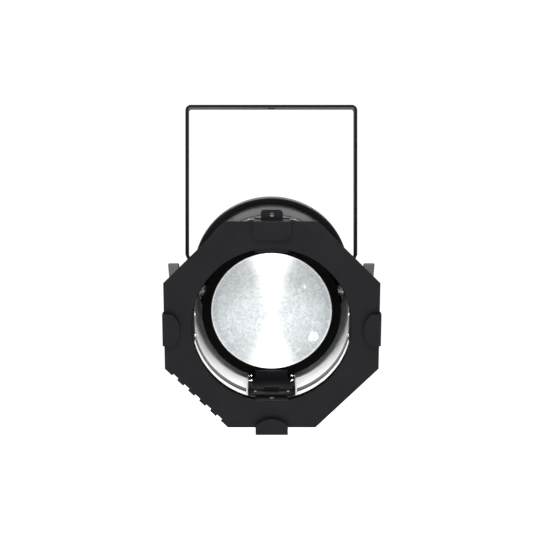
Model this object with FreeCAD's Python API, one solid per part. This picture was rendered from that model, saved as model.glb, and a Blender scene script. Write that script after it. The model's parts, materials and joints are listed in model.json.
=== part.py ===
"""Stage par can light: a round lamp head with an octagonal colour frame, hung in a flat steel yoke.

The head is modelled in its own frame, in millimetres: the tilt pivot is the origin, the optical axis is Y
and the front of the light faces -Y. place_head() then tips the head forward by REST_TILT and hangs it under
the yoke. The part's origin is the centre of the hanging hole, at the yoke's top face, with +Z up.
"""

import FreeCAD
import Part

import math
import os

from FreeCAD import Vector

# ---------------------------------------------------------------- driving dimensions
REST_TILT = 15.0          # degrees that the head points below level at rest
PIVOT_DROP = 238.0        # yoke's top face to the tilt pivot
STRIP = 3.2               # yoke strip thickness
STRIP_WIDTH = 30.0
YOKE_HALF = 110.2         # half of the yoke's outside width
JOGGLE = 5.0              # how far each leg's foot steps inwards
HANG_HOLE_R = 5.5
STUD_R = 4.0
STUD_HOLE_R = 4.3

FRONT = -165.0            # front face of the colour frame
FRAME_ACROSS = 254.0      # octagon, across flats
FRAME_LIFT = 2.7          # the frame rides this far above the optical axis
FRAME_THICK = 3.0
APERTURE_R = 95.0

BARREL_R = 98.0
WALL = 1.5
BARREL_FRONT = FRONT + 7.5
BARREL_REAR = 88.0
LINER_R = 94.8            # inner wall of the bright sleeve
LINER_FRONT = FRONT + 20.9
GROOVES_Y = (-125.0, 11.0)
BEAD_Y = 65.0

COLLAR_R = 104.5          # rear shell's collar
COLLAR_Y0, COLLAR_Y1 = 78.0, 92.0
SHELL_REAR = 178.0
SHELL_REAR_R = 84.0
PANEL_Y = 173.0           # outer face of the rear panel
PANEL_R = 79.6
PANEL_SHEET = 1.5

SHEET = 1.2               # clip and bracket sheet
CLIP_WIDTH = 39.0
CLIP_BACK = FRONT + 3.5   # front face of the clips' back plates
CLIP_FRONT = FRONT - 7.2  # front face of the clips' tabs
CLIP_FOOT = 91.7          # axis to the inner face of a clip's foot
CLIP_FOOT_END = FRONT + 20.5
SIDE_REACH = 128.6        # axis to the outside of a side clip
END_REACH = 131.5         # axis to the outside of the bottom clip and the latch
HOLDER_SCREW_ANGLES = (30.0, 150.0, 270.0)

LATCH_HALF = 20.5
LATCH_PIN_Y = FRONT + 7.5
LATCH_PIN_Z = 130.0
LATCH_PIN_R = 1.5
KNUCKLE_R = 2.7
KNUCKLE_HALF = 10.0       # half-length of the flap's middle knuckle

LENS_Y = -93.4            # front of the lens's rim at rest
LENS_R = 77.0
LENS_OPENING_R = 73.9
HOLDER_R = 85.2
HOLDER_SHEET = 1.6
HOLDER_DEEP = 12.0
ZOOM_TRAVEL = 50.0

RAIL_HALF = 28.5
RAIL_SHEET = 1.5
RAIL_WEB_Z = -89.5
RAIL_TOP_Z = -81.2
RAIL_FRONT = FRONT + 17.0
FOOT_WEB_Z = -87.7
FOOT_HALF = 26.7
FOOT_TOP_Z = -81.4
FOOT_FRONT = FRONT + 31.0
FOOT_PANEL_Y = FRONT + 64.0
FOOT_PANEL_HALF = 20.0
FOOT_PANEL_TOP = -75.0
GUIDE_SCREW_Y = (-111.0, -93.0)
GUIDE_SCREW_Z = -84.1
THUMB_Y = -73.0           # zoom thumbscrew's axis at rest
THUMB_STUD_R = 2.5
SLOT_HALF = 4.5           # half-width of the zoom slot

LED_Y = 18.0              # face of the LED
BULKHEAD_Y = 26.0
SINK_BASE_Y = BULKHEAD_Y + PANEL_SHEET + 0.1
FAN_Y = BULKHEAD_Y + 48.0
FAN_DEEP = 20.0
FAN_HOLE = 35.7           # fan's fixing holes, half of their spacing
SIDE_SCREW_ANGLES = (30.0, 150.0, 210.0, 330.0)
COLLAR_SCREW_ANGLES = (0.0, 180.0, 270.0)
PANEL_SCREW_ANGLES = (45.0, 135.0, 225.0, 315.0)
PANEL_SCREW_R = 74.5

BUTTON_X = (-24.0, -8.0, 8.0, 24.0)
BUTTON_Z = 22.0
DISPLAY_Z = 44.0
SOCKET_X = 30.0
DATA_Z = -12.0
MAINS_X = 27.0
MAINS_Z = -50.0
EYE_Z = 66.0

X = Vector(1, 0, 0)
Y = Vector(0, 1, 0)
Z = Vector(0, 0, 1)
ORIGIN = Vector(0, 0, 0)


# ---------------------------------------------------------------- shape helpers
def block(x0, x1, y0, y1, z0, z1):
    """An axis-aligned box between two corners."""
    return Part.makeBox(x1 - x0, y1 - y0, z1 - z0, Vector(x0, y0, z0))


def rod_y(radius, y0, y1, x=0.0, z=0.0):
    return Part.makeCylinder(radius, y1 - y0, Vector(x, y0, z), Y)


def rod_x(radius, x0, x1, y=0.0, z=0.0):
    return Part.makeCylinder(radius, x1 - x0, Vector(x0, y, z), X)


def rod_z(radius, z0, z1, x=0.0, y=0.0):
    return Part.makeCylinder(radius, z1 - z0, Vector(x, y, z0), Z)


def tube_y(inner, outer, y0, y1):
    return rod_y(outer, y0, y1).cut(rod_y(inner, y0 - 1, y1 + 1))


def turned(points):
    """A closed outline of (radius, y) points, turned about the optical axis."""
    outline = [Vector(r, y, 0) for r, y in points]
    return Part.Face(Part.makePolygon(outline + outline[:1])).revolve(ORIGIN, Y, 360)


def plate_xz(points, y0, y1):
    """A flat outline of (x, z) points, as thick as y0 to y1."""
    outline = [Vector(x, y0, z) for x, z in points]
    return Part.Face(Part.makePolygon(outline + outline[:1])).extrude(Vector(0, y1 - y0, 0))


def bead(major, minor, y):
    """A torus round the optical axis."""
    return Part.makeTorus(major, minor, Vector(0, y, 0), Y)


def about_axis(shape, degrees):
    """Turns a copy about the optical axis: 0 is +X and 90 is +Z."""
    copy = shape.copy()
    copy.rotate(ORIGIN, Y, -degrees)
    return copy


def mirrored(shape):
    return shape.mirror(ORIGIN, X)


def softened(shape, radius, wanted):
    """Rounds the edges that wanted(edge) picks."""
    edges = [e for e in shape.Edges if wanted(e)]
    return shape.makeFillet(radius, edges)


def joined(first, *others):
    """One solid from several that touch or overlap."""
    return first.fuse(list(others)).removeSplitter()


def cut_all(shape, tools):
    for tool in tools:
        shape = shape.cut(tool)
    return shape


def near(value, wanted):
    return abs(value - wanted) < 0.01


def closed_ring(edge):
    """True for a full circle, which has one vertex."""
    return len(edge.Vertexes) == 1


def square_to(direction, edge):
    """True where a straight edge runs along the direction."""
    if len(edge.Vertexes) < 2:
        return False
    run = edge.Vertexes[-1].Point.sub(edge.Vertexes[0].Point)
    return run.Length > 1e-6 and abs(run.normalize().dot(direction)) > 0.999


def place_yoke(shape):
    copy = shape.copy()
    copy.translate(Vector(0, 0, -PIVOT_DROP))
    return copy


def place_head(shape):
    copy = shape.copy()
    copy.rotate(ORIGIN, X, REST_TILT)
    copy.translate(Vector(0, 0, -PIVOT_DROP))
    return copy


# ---------------------------------------------------------------- yoke, with z measured from the pivot
def yoke_bracket():
    """Bent flat strip: a top bar with the hanging hole, and two legs that step inwards at the pivots."""
    step_low, step_high = 34.0, 46.0
    outer, inner = YOKE_HALF, YOKE_HALF - STRIP
    end_r = STRIP_WIDTH / 2
    top = PIVOT_DROP
    right = [(outer - JOGGLE, -end_r), (outer - JOGGLE, step_low), (outer, step_high), (outer, top)]
    inside = [(inner, top - STRIP), (inner, step_high),
              (inner - JOGGLE, step_low), (inner - JOGGLE, -end_r)]
    left_side = [(-x, z) for x, z in reversed(right)]
    left_inside = [(-x, z) for x, z in reversed(inside)]
    strip = plate_xz(right + left_side + left_inside + inside, -end_r, end_r)
    strip = softened(strip, 3.0, lambda e: square_to(Y, e) and near(e.CenterOfMass.z, top - STRIP))
    strip = softened(strip, 7.0, lambda e: square_to(Y, e) and near(e.CenterOfMass.z, top))
    foot_corners = block(-outer, outer, -end_r, end_r, -end_r - 1, 0)
    strip = strip.cut(foot_corners.cut(rod_x(end_r, -outer - 1, outer + 1)))
    strip = strip.cut(rod_x(STUD_HOLE_R, -outer - 1, outer + 1))
    return strip.cut(rod_z(HANG_HOLE_R, top - STRIP - 1, top + 1))


LEG_INSIDE = YOKE_HALF - STRIP - JOGGLE
LEG_OUTSIDE = YOKE_HALF - JOGGLE
SADDLE_X = LEG_INSIDE - 0.9
KNOB_FACE = LEG_OUTSIDE + 1.7


def friction_washer():
    return rod_x(14.0, SADDLE_X + 0.05, LEG_INSIDE).cut(rod_x(STUD_HOLE_R, 90, 110))


def steel_washer():
    return rod_x(10.5, LEG_OUTSIDE, LEG_OUTSIDE + 1.5).cut(rod_x(STUD_HOLE_R, 90, 120))


# ---------------------------------------------------------------- tilt pivots and wing knobs
def pivot_saddle():
    """Pad that fills between the round barrel and the flat washer."""
    pad = rod_x(16.0, 92.0, SADDLE_X).cut(rod_y(BARREL_R, -30, 30))
    return pad.cut(rod_x(7.0, 90, 110))


def pivot_nut():
    """Press-in threaded bush, flanged inside the barrel wall."""
    bush = joined(rod_x(7.0, 84.0, SADDLE_X - 0.1), rod_x(11.0, 90.0, 93.0))
    return bush.cut(rod_x(STUD_R + 0.05, 80, 110))


def wing_knob():
    """Moulded wing: two blades flare outwards from a round hub."""
    half, waist, tip_in, tip_out = 35.0, 15.0, 119.4, 133.4
    profile = [(tip_in, half), (tip_out, half), (tip_out - 3, 0), (tip_out, -half), (tip_in, -half),
               (tip_in - 2, -waist), (tip_in - 6.6, -9), (tip_in - 6.6, 9), (tip_in - 2, waist)]
    blade_half = 4.6
    wing = plate_xz(profile, -blade_half, blade_half)
    wing = softened(wing, 2.0, lambda e: square_to(Y, e))
    wing = softened(wing, 1.4, lambda e: near(abs(e.CenterOfMass.y), blade_half))
    hub = Part.makeCone(12.5, 9.5, 16.0, Vector(KNOB_FACE, 0, 0), X)
    return joined(hub, wing).cut(rod_x(STUD_R, KNOB_FACE - 1, KNOB_FACE + 12))


def knob_stud():
    return rod_x(STUD_R, 82.0, KNOB_FACE + 12)


# ---------------------------------------------------------------- colour frame and its holder
def octagon(across, lift):
    half, flat = across / 2, across / 2 * math.tan(math.pi / 8)
    corners = [(-flat, half), (flat, half), (half, flat), (half, -flat),
               (flat, -half), (-flat, -half), (-half, -flat), (-half, flat)]
    return [(x, z + lift) for x, z in corners]


def colour_frame():
    """Folded sheet: two leaves with a gap for the filter, joined along one notched diagonal edge."""
    leaf, fold, notch_pitch, notch_long, notch_deep = 1.0, 1.4, 18.2, 8.6, 2.6
    back = FRONT + FRAME_THICK
    edge = -FRAME_ACROSS / 2
    cutters = [block(edge + fold, FRAME_ACROSS, FRONT + leaf, back - leaf, -FRAME_ACROSS, FRAME_ACROSS)]
    for n in range(-2, 3):
        middle = n * notch_pitch
        cutters.append(block(edge - 3, edge + notch_deep, FRONT - 1, back + 1,
                             middle - notch_long / 2, middle + notch_long / 2))
    frame = plate_xz(octagon(FRAME_ACROSS, FRAME_LIFT), FRONT, back)
    for cutter in cutters:
        cutter.rotate(ORIGIN, Y, -45)
        cutter.translate(Vector(0, 0, FRAME_LIFT))
        frame = frame.cut(cutter)
    return frame.cut(rod_y(APERTURE_R, FRONT - 1, back + 1, 0, FRAME_LIFT))


def frame_pad():
    """Rubber rest under the colour frame, inside the bottom clip's channel."""
    low, high = -END_REACH + SHEET, -FRAME_ACROSS / 2 + FRAME_LIFT
    return block(-15, 15, CLIP_FRONT + SHEET + 0.1, CLIP_BACK - 0.1, low, high)


def holder_ring():
    """Collar inside the mouth of the barrel, which carries the clips."""
    return tube_y(APERTURE_R, BARREL_R - WALL - 0.1, CLIP_BACK + SHEET + 0.1, CLIP_FOOT_END - 1.3)


def radial_screw(seat, reach, head_r, head_high, shank_r):
    """A screw along +X whose head sits at seat and points to the axis."""
    top = seat - head_high
    head = rod_x(head_r, top, seat)
    head = softened(head, head_high * 0.45, lambda e: closed_ring(e) and near(e.CenterOfMass.x, top))
    return joined(head, rod_x(shank_r, seat - 0.5, reach))


def holder_screws():
    """Three screws, heads inside, that hold the holder ring in the barrel."""
    screws = []
    for angle in HOLDER_SCREW_ANGLES:
        seat = CLIP_FOOT if angle == 270.0 else APERTURE_R - 0.1
        screw = radial_screw(seat, BARREL_R + 1.2, 3.0, 2.0, 1.6)
        screw.translate(Vector(0, FRONT + 12.0, 0))
        screws.append(about_axis(screw, angle))
    return screws


def clip(reach):
    """Channel clip along +X: foot in the barrel, back plate, outer wall and rounded front tab."""
    half, straight, arc_high = CLIP_WIDTH / 2, 11.5, 9.0
    tab_tip = reach - straight - arc_high
    arc_r = (half ** 2 + arc_high ** 2) / (2 * arc_high)
    foot = block(CLIP_FOOT, CLIP_FOOT + SHEET, CLIP_BACK, CLIP_FOOT_END, -half, half)
    back = block(CLIP_FOOT, reach, CLIP_BACK, CLIP_BACK + SHEET, -half, half)
    wall = block(reach - SHEET, reach, CLIP_FRONT, CLIP_BACK + SHEET, -half, half)
    tab = block(tab_tip, reach, CLIP_FRONT, CLIP_FRONT + SHEET, -half, half)
    rounded = rod_y(arc_r, CLIP_FRONT - 1, CLIP_FRONT + 3, tab_tip + arc_r)
    square = block(reach - straight, reach, CLIP_FRONT - 1, CLIP_FRONT + 3, -half, half)
    shape = joined(foot, back, wall, tab.common(rounded.fuse(square)))
    return softened(shape, SHEET * 0.95, lambda e: square_to(Z, e) and near(e.CenterOfMass.x, reach))


def clip_rivets():
    """Two rivets through the foot of each side clip and of the latch bracket."""
    rivets = []
    for angle in (0.0, 90.0, 180.0):
        for across in (-13.0, 13.0):
            edge = math.sqrt(APERTURE_R ** 2 - across ** 2)
            head = rod_x(2.6, CLIP_FOOT - 1.0, CLIP_FOOT, 0, across)
            rivet = joined(head, rod_x(1.5, CLIP_FOOT - 0.5, edge + 1.0, 0, across))
            rivet.translate(Vector(0, FRONT + 15.5, 0))
            rivets.append(about_axis(rivet, angle))
    return rivets


# ---------------------------------------------------------------- sprung latch at the top of the holder
def latch_bracket():
    """Fixed half of the latch: foot and back plate with a knuckle at each side."""
    sill, step = 126.0, 122.0
    foot_half = CLIP_WIDTH / 2
    foot = block(-foot_half, foot_half, CLIP_BACK, CLIP_FOOT_END, CLIP_FOOT, CLIP_FOOT + SHEET)
    back = joined(block(-foot_half, foot_half, CLIP_BACK, CLIP_BACK + SHEET, CLIP_FOOT, step),
                  block(-LATCH_HALF, LATCH_HALF, CLIP_BACK, CLIP_BACK + SHEET, CLIP_FOOT + 5, sill))
    knuckles = []
    for side in (-1, 1):
        x0, x1 = sorted((side * (KNUCKLE_HALF + 0.4), side * LATCH_HALF))
        knuckles.append(rod_x(KNUCKLE_R, x0, x1, LATCH_PIN_Y, LATCH_PIN_Z))
        knuckles.append(block(x0, x1, CLIP_BACK, LATCH_PIN_Y + KNUCKLE_R, step, sill))
        knuckles.append(block(x0, x1, LATCH_PIN_Y - KNUCKLE_R, LATCH_PIN_Y + KNUCKLE_R, step, LATCH_PIN_Z))
    return joined(back, foot, *knuckles).cut(rod_x(LATCH_PIN_R, -40, 40, LATCH_PIN_Y, LATCH_PIN_Z))


def latch_flap():
    """Moving half: front tab, top plate, thumb tab with a lanyard hole, and the middle knuckle."""
    tab_half, tab_high, tab_corner = 22.0, 22.0, 10.0
    thumb_half, thumb_high, thumb_corner, lanyard_r = 12.8, 11.5, 4.5, 2.5
    low = END_REACH - SHEET
    rear = LATCH_PIN_Y - KNUCKLE_R - 0.4
    tab = block(-tab_half, tab_half, CLIP_FRONT, CLIP_FRONT + SHEET, END_REACH - tab_high, END_REACH)
    tab = softened(tab, tab_corner, lambda e: square_to(Y, e) and e.CenterOfMass.z < low)
    plate = block(-LATCH_HALF, LATCH_HALF, CLIP_FRONT, rear, low, END_REACH)
    thumb = block(-thumb_half, thumb_half, rear - SHEET, rear, low, END_REACH + thumb_high)
    thumb = softened(thumb, thumb_corner, lambda e: square_to(Y, e) and e.CenterOfMass.z > END_REACH)
    thumb = thumb.cut(rod_y(lanyard_r, rear - 5, rear + 5, 0, END_REACH + 5.5))
    bridge = block(-KNUCKLE_HALF, KNUCKLE_HALF, rear - SHEET, LATCH_PIN_Y, low, END_REACH)
    knuckle = rod_x(KNUCKLE_R, -KNUCKLE_HALF, KNUCKLE_HALF, LATCH_PIN_Y, LATCH_PIN_Z)
    flap = joined(tab, plate, thumb, bridge, knuckle)
    flap = softened(flap, SHEET * 0.95, lambda e: square_to(X, e) and near(e.CenterOfMass.z, END_REACH)
                    and near(e.CenterOfMass.y, CLIP_FRONT))
    return flap.cut(rod_x(LATCH_PIN_R + 0.08, -12, 12, LATCH_PIN_Y, LATCH_PIN_Z))


def latch_pin():
    half = 27.0
    pin = rod_x(LATCH_PIN_R, -half, half, LATCH_PIN_Y, LATCH_PIN_Z)
    heads = [rod_x(2.2, x, x + 0.9, LATCH_PIN_Y, LATCH_PIN_Z) for x in (-half - 0.8, half - 0.1)]
    return joined(pin, *heads)


def latch_springs():
    """Two torsion springs on the pin's ends: five touching turns, and a leg down behind the bracket."""
    wire_r, coil_r, pitch, turns = 0.5, 2.15, 0.98, 5
    springs = []
    for side in (-1, 1):
        middles = [side * (21.3 + turn * pitch) for turn in range(turns)]
        coils = [Part.makeTorus(coil_r, wire_r, Vector(x, LATCH_PIN_Y, LATCH_PIN_Z), X) for x in middles]
        leg = rod_z(wire_r, LATCH_PIN_Z - 12, LATCH_PIN_Z, middles[0], LATCH_PIN_Y + coil_r)
        springs.append(joined(leg, *coils))
    return springs


# ---------------------------------------------------------------- barrel
def zoom_slot(half, extra):
    """The space that the thumbscrew's shank travels in."""
    y0, y1, low, high = THUMB_Y - extra, THUMB_Y + ZOOM_TRAVEL + extra, -110, -80
    ends = [rod_z(half, low, high, 0, y) for y in (y0, y1)]
    return joined(block(-half, half, y0, y1, low, high), *ends)


def barrel():
    """Spun aluminium tube with a rolled mouth, pressed beads, a zoom slot and holes for its fasteners."""
    body = tube_y(BARREL_R - WALL, BARREL_R, BARREL_FRONT, BARREL_REAR)
    body = joined(body, bead(BARREL_R + 0.7, 1.9, BARREL_FRONT), bead(BARREL_R - 0.3, 1.5, BEAD_Y))
    grooves = [bead(BARREL_R + 0.8, 1.7, y) for y in GROOVES_Y]
    holes = [zoom_slot(SLOT_HALF, 1.0), rod_x(7.0, -110, 110)]
    return cut_all(body, grooves + holes + barrel_screws() + rail_rivets())


def barrel_liner():
    """Bare aluminium sleeve that lines the barrel from the holder ring to the bulkhead."""
    sleeve = tube_y(LINER_R, BARREL_R - WALL - 0.2, LINER_FRONT, BULKHEAD_Y - 2.0)
    return cut_all(sleeve, [zoom_slot(SLOT_HALF + 0.5, 1.0), rod_x(11.3, -110, 110)] + rail_rivets())


def mouth_band():
    """Open black felt band inside the front of the liner, which keeps light off the clips."""
    rail_gap = 31.0
    band = tube_y(LINER_R - 1.3, LINER_R - 0.05, LINER_FRONT + 8.6, LINER_FRONT + 17.6)
    return band.cut(block(-rail_gap, rail_gap, FRONT, FRONT + 60, -110, -50))


# ---------------------------------------------------------------- zoom slide
def slide_rail():
    """Channel along the bottom of the barrel, with slotted side walls."""
    rear = THUMB_Y + ZOOM_TRAVEL + 14.0
    web = block(-RAIL_HALF, RAIL_HALF, RAIL_FRONT, rear, RAIL_WEB_Z, RAIL_WEB_Z + RAIL_SHEET)
    sides = []
    slot_r, y0, y1 = 1.9, GUIDE_SCREW_Y[0], GUIDE_SCREW_Y[1] + ZOOM_TRAVEL
    for x0 in (-RAIL_HALF, RAIL_HALF - RAIL_SHEET):
        side = block(x0, x0 + RAIL_SHEET, RAIL_FRONT, rear, RAIL_WEB_Z, RAIL_TOP_Z)
        slot = joined(block(x0 - 1, x0 + 3, y0, y1, GUIDE_SCREW_Z - slot_r, GUIDE_SCREW_Z + slot_r),
                      rod_x(slot_r, x0 - 1, x0 + 3, y0, GUIDE_SCREW_Z),
                      rod_x(slot_r, x0 - 1, x0 + 3, y1, GUIDE_SCREW_Z))
        sides.append(side.cut(slot))
    return cut_all(joined(web, *sides), [zoom_slot(SLOT_HALF, 1.0)] + rail_rivets())


def rail_rivets():
    """Spacer rivets between the barrel wall and the rail's web."""
    rivets = []
    top = RAIL_WEB_Z + RAIL_SHEET
    for y in (RAIL_FRONT + 11.0, THUMB_Y + ZOOM_TRAVEL + 10.0):
        for x in (-20.0, 20.0):
            shank = rod_z(1.6, -97.5, top, x, y)
            spacer = rod_z(2.6, -92.4, RAIL_WEB_Z, x, y)
            rivets.append(joined(shank, spacer))
    return rivets


def carriage_foot():
    """Channel that rides in the rail, with a hooded front panel below the lens and a small finger lip."""
    rear, half = THUMB_Y + 8.0, FOOT_PANEL_HALF
    web = block(-FOOT_HALF, FOOT_HALF, FOOT_FRONT, rear, FOOT_WEB_Z, FOOT_WEB_Z + SHEET)
    sides = [block(x, x + SHEET, FOOT_FRONT, rear, FOOT_WEB_Z, FOOT_TOP_Z)
             for x in (-FOOT_HALF, FOOT_HALF - SHEET)]
    panel = block(-half, half, FOOT_PANEL_Y, FOOT_PANEL_Y + SHEET, FOOT_WEB_Z, FOOT_PANEL_TOP)
    hood = block(-half, half, FOOT_PANEL_Y, LENS_Y - HOLDER_SHEET - 0.3,
                 FOOT_PANEL_TOP - SHEET, FOOT_PANEL_TOP)
    lip = block(-9.5, 9.5, FOOT_FRONT, FOOT_FRONT + SHEET, FOOT_WEB_Z, FOOT_WEB_Z + 4.0)
    bush = rod_z(6.0, FOOT_WEB_Z, -80.6, 0, THUMB_Y)
    foot = joined(web, *(sides + [panel, hood, lip, bush]))
    foot = foot.cut(rod_z(THUMB_STUD_R + 0.05, -100, -70, 0, THUMB_Y))
    return cut_all(foot, guide_screws())


def guide_screws():
    """Shoulder screws: heads inside the foot, shanks out through the rail's slots."""
    screws = []
    for y in GUIDE_SCREW_Y:
        screw = radial_screw(FOOT_HALF - SHEET, RAIL_HALF + 0.7, 2.1, 2.2, 1.5)
        screw.translate(Vector(0, y, GUIDE_SCREW_Z))
        screws += [screw, mirrored(screw)]
    return screws


def lens_holder():
    """Ring with a front face, an outer wall and a tongue that stands on the carriage foot."""
    front = LENS_Y - HOLDER_SHEET
    face = tube_y(LENS_OPENING_R, HOLDER_R, front, LENS_Y)
    wall = tube_y(HOLDER_R - 1.5, HOLDER_R, front, LENS_Y + HOLDER_DEEP)
    tongue = block(-FOOT_PANEL_HALF, FOOT_PANEL_HALF, front, LENS_Y, FOOT_WEB_Z + SHEET, -78.0)
    return joined(face, wall, tongue.cut(rod_y(80.0, front - 1, LENS_Y + 1)))


def lens():
    """Plano-convex lens with a square rim, its dome standing out through the holder's opening."""
    rise, rim, dome_r = 6.0, 4.0, LENS_OPENING_R - 0.5
    sphere_r = (dome_r ** 2 + rise ** 2) / (2 * rise)
    front = LENS_Y - rise
    ball = Part.makeSphere(sphere_r, Vector(0, front + sphere_r, 0), Y)
    return joined(ball.common(rod_y(dome_r, front - 1, LENS_Y + 1)), rod_y(LENS_R, LENS_Y, LENS_Y + rim))


def lens_retainer():
    """Flat ring behind the lens, held in the holder's wall."""
    back = LENS_Y + 4.05
    return tube_y(72.0, HOLDER_R - 1.55, back, back + 1.0)


def zoom_thumbscrew():
    """Knurled thumb knob under the barrel, with its stud up into the carriage bush."""
    low, high, knob_r, flutes = -113.5, -101.5, 11.0, 20
    stud = rod_z(THUMB_STUD_R, -110.0, -81.0, 0, THUMB_Y)
    head = softened(rod_z(knob_r, low, high, 0, THUMB_Y), 1.0, closed_ring)
    for n in range(flutes):
        turn = 2 * math.pi * n / flutes
        centre_x, centre_y = (knob_r + 0.3) * math.cos(turn), THUMB_Y + (knob_r + 0.3) * math.sin(turn)
        head = head.cut(rod_z(1.1, low - 1, high + 1, centre_x, centre_y))
    return joined(head, rod_z(4.0, high - 0.1, -98.6, 0, THUMB_Y), stud)


# ---------------------------------------------------------------- light engine
def bulkhead():
    """Plate across the barrel with a rolled rim, a hole for the heat sink's pedestal and air slots."""
    y0, y1 = BULKHEAD_Y - 1, BULKHEAD_Y + 3
    disc = rod_y(96.3, BULKHEAD_Y, BULKHEAD_Y + PANEL_SHEET)
    rim = tube_y(94.9, 96.3, BULKHEAD_Y, BULKHEAD_Y + 12.0)
    plate = joined(disc, rim).cut(rod_y(26.0, y0, y1))
    slot = joined(block(68, 84, y0, y1, -4, 4), rod_y(4, y0, y1, 68), rod_y(4, y0, y1, 84))
    slots = [about_axis(slot, 30 * n + 15) for n in range(12)]
    return cut_all(plate, slots + side_screws())


def side_screws():
    """Four screws through the barrel into the bulkhead's rim."""
    screw = joined(rod_x(1.6, 93.5, BARREL_R + 0.4), rod_x(3.0, BARREL_R, BARREL_R + 1.3))
    screw.translate(Vector(0, BULKHEAD_Y + 7.0, 0))
    return [about_axis(screw, angle) for angle in SIDE_SCREW_ANGLES]


def heat_sink():
    """Pedestal and base disc with straight fins behind."""
    base_r, fin_half, pitch, count = 62.0, 0.9, 7.0, 17
    base_back = SINK_BASE_Y + 6.4
    pedestal = rod_y(24.0, LED_Y + 2.0, SINK_BASE_Y + 1)
    base = rod_y(base_r, SINK_BASE_Y, base_back)
    fins = []
    for n in range(count):
        x = (n - (count - 1) / 2) * pitch
        half = math.sqrt((base_r - 1) ** 2 - x ** 2)
        fins.append(block(x - fin_half, x + fin_half, base_back - 1, FAN_Y - 1.0, -half, half))
    return cut_all(joined(pedestal, base, *fins), fan_posts())


def led_module():
    """Light-emitting disc on its square board."""
    board = block(-14, 14, LED_Y + 0.8, LED_Y + 2.0, -14, 14)
    return joined(board, rod_y(11.5, LED_Y, LED_Y + 0.9))


def led_clamp():
    """Ring that presses the LED board to the pedestal."""
    ring = tube_y(13.0, 22.5, LED_Y - 1.6, LED_Y + 0.75)
    skirt = tube_y(20.0, 22.5, LED_Y - 1.6, LED_Y + 1.95)
    return joined(ring, skirt)


def reflector():
    """Spun cup round the LED."""
    throat, mouth = LED_Y - 1.8, LED_Y - 31.0
    flange = mouth + 1.0
    outline = [(13.2, throat), (15.4, throat), (42.6, flange), (46.0, flange), (46.0, mouth), (42.0, mouth)]
    return turned(outline)


def fan_frame():
    """Square frame with a round duct, three struts and a motor seat."""
    y0, y1, strut = FAN_Y, FAN_Y + FAN_DEEP, FAN_Y + FAN_DEEP - 2.5
    frame = block(-40, 40, y0, y1, -40, 40).cut(rod_y(38.0, y0 - 1, y1 + 1))
    struts = [about_axis(block(14, 39, strut, y1, -2, 2), 120 * n + 30) for n in range(3)]
    seat = rod_y(15.0, strut, y1).cut(rod_y(1.55, strut - 1, y1 + 1))
    return cut_all(joined(frame, seat, *struts), fan_posts())


def fan_rotor():
    """Hub with seven pitched blades and its shaft."""
    count, pitch_angle = 7, 32.0
    y0, y1 = FAN_Y + 1.5, FAN_Y + 17.0
    middle = (y0 + y1) / 2
    blades = []
    for n in range(count):
        blade = block(13.5, 36.6, middle - 0.8, middle + 0.8, -9, 9)
        blade.rotate(Vector(25, middle, 0), X, pitch_angle)
        blades.append(about_axis(blade, 360.0 / count * n))
    rotor = joined(rod_y(14.5, y0, y1), *blades).common(rod_y(37.2, y0, y1))
    return joined(rotor, rod_y(1.5, y1 - 1, FAN_Y + 19.5))


def fan_posts():
    """Four long screws that hold the fan and the driver bracket to the heat sink's base."""
    head_y = FAN_Y + FAN_DEEP + 1.6
    places = [(x, z) for x in (-FAN_HOLE, FAN_HOLE) for z in (-FAN_HOLE, FAN_HOLE)]
    return [joined(rod_y(2.0, SINK_BASE_Y + 2, head_y + 1, x, z), rod_y(3.6, head_y, head_y + 2.4, x, z))
            for x, z in places]


def driver_case():
    """Metal case of the LED driver, below the axis."""
    case = block(-50, 50, FAN_Y + 26.0, FAN_Y + 62.0, -62, -12)
    return softened(case, 2.0, lambda e: square_to(Y, e))


def driver_bracket():
    """Bent sheet behind the fan, with two flanges that carry the driver's case."""
    y0 = FAN_Y + FAN_DEEP + 0.05
    y1 = y0 + PANEL_SHEET
    plate = block(-51.6, 51.6, y0, y1, -42, -16)
    flanges = [block(x, x + PANEL_SHEET, y0, FAN_Y + 55.0, -42, -16) for x in (-51.6, 50.1)]
    return cut_all(joined(plate, *flanges), fan_posts())


def control_board():
    """Board with its chips, button switches, display and the two pillars that stand it off the panel."""
    back, face = PANEL_Y - 13.6, PANEL_Y - 12.0
    board = block(-34, 34, back, face, 12, 56)
    chips = [block(x - 5, x + 5, back - 1.6, back, z - 5, z + 5) for x in (-18, 0, 18) for z in (24, 44)]
    switches = [block(x - 3, x + 3, face, PANEL_Y - 6.4, BUTTON_Z - 3, BUTTON_Z + 3) for x in BUTTON_X]
    pillars = [rod_y(2.5, face, PANEL_Y - PANEL_SHEET, x, 53.0) for x in (-31, 31)]
    display = block(-18, 18, face, PANEL_Y - PANEL_SHEET - 0.1, DISPLAY_Z - 5.5, DISPLAY_Z + 5.5)
    return joined(board, *(chips + switches + pillars + [display]))


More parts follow.
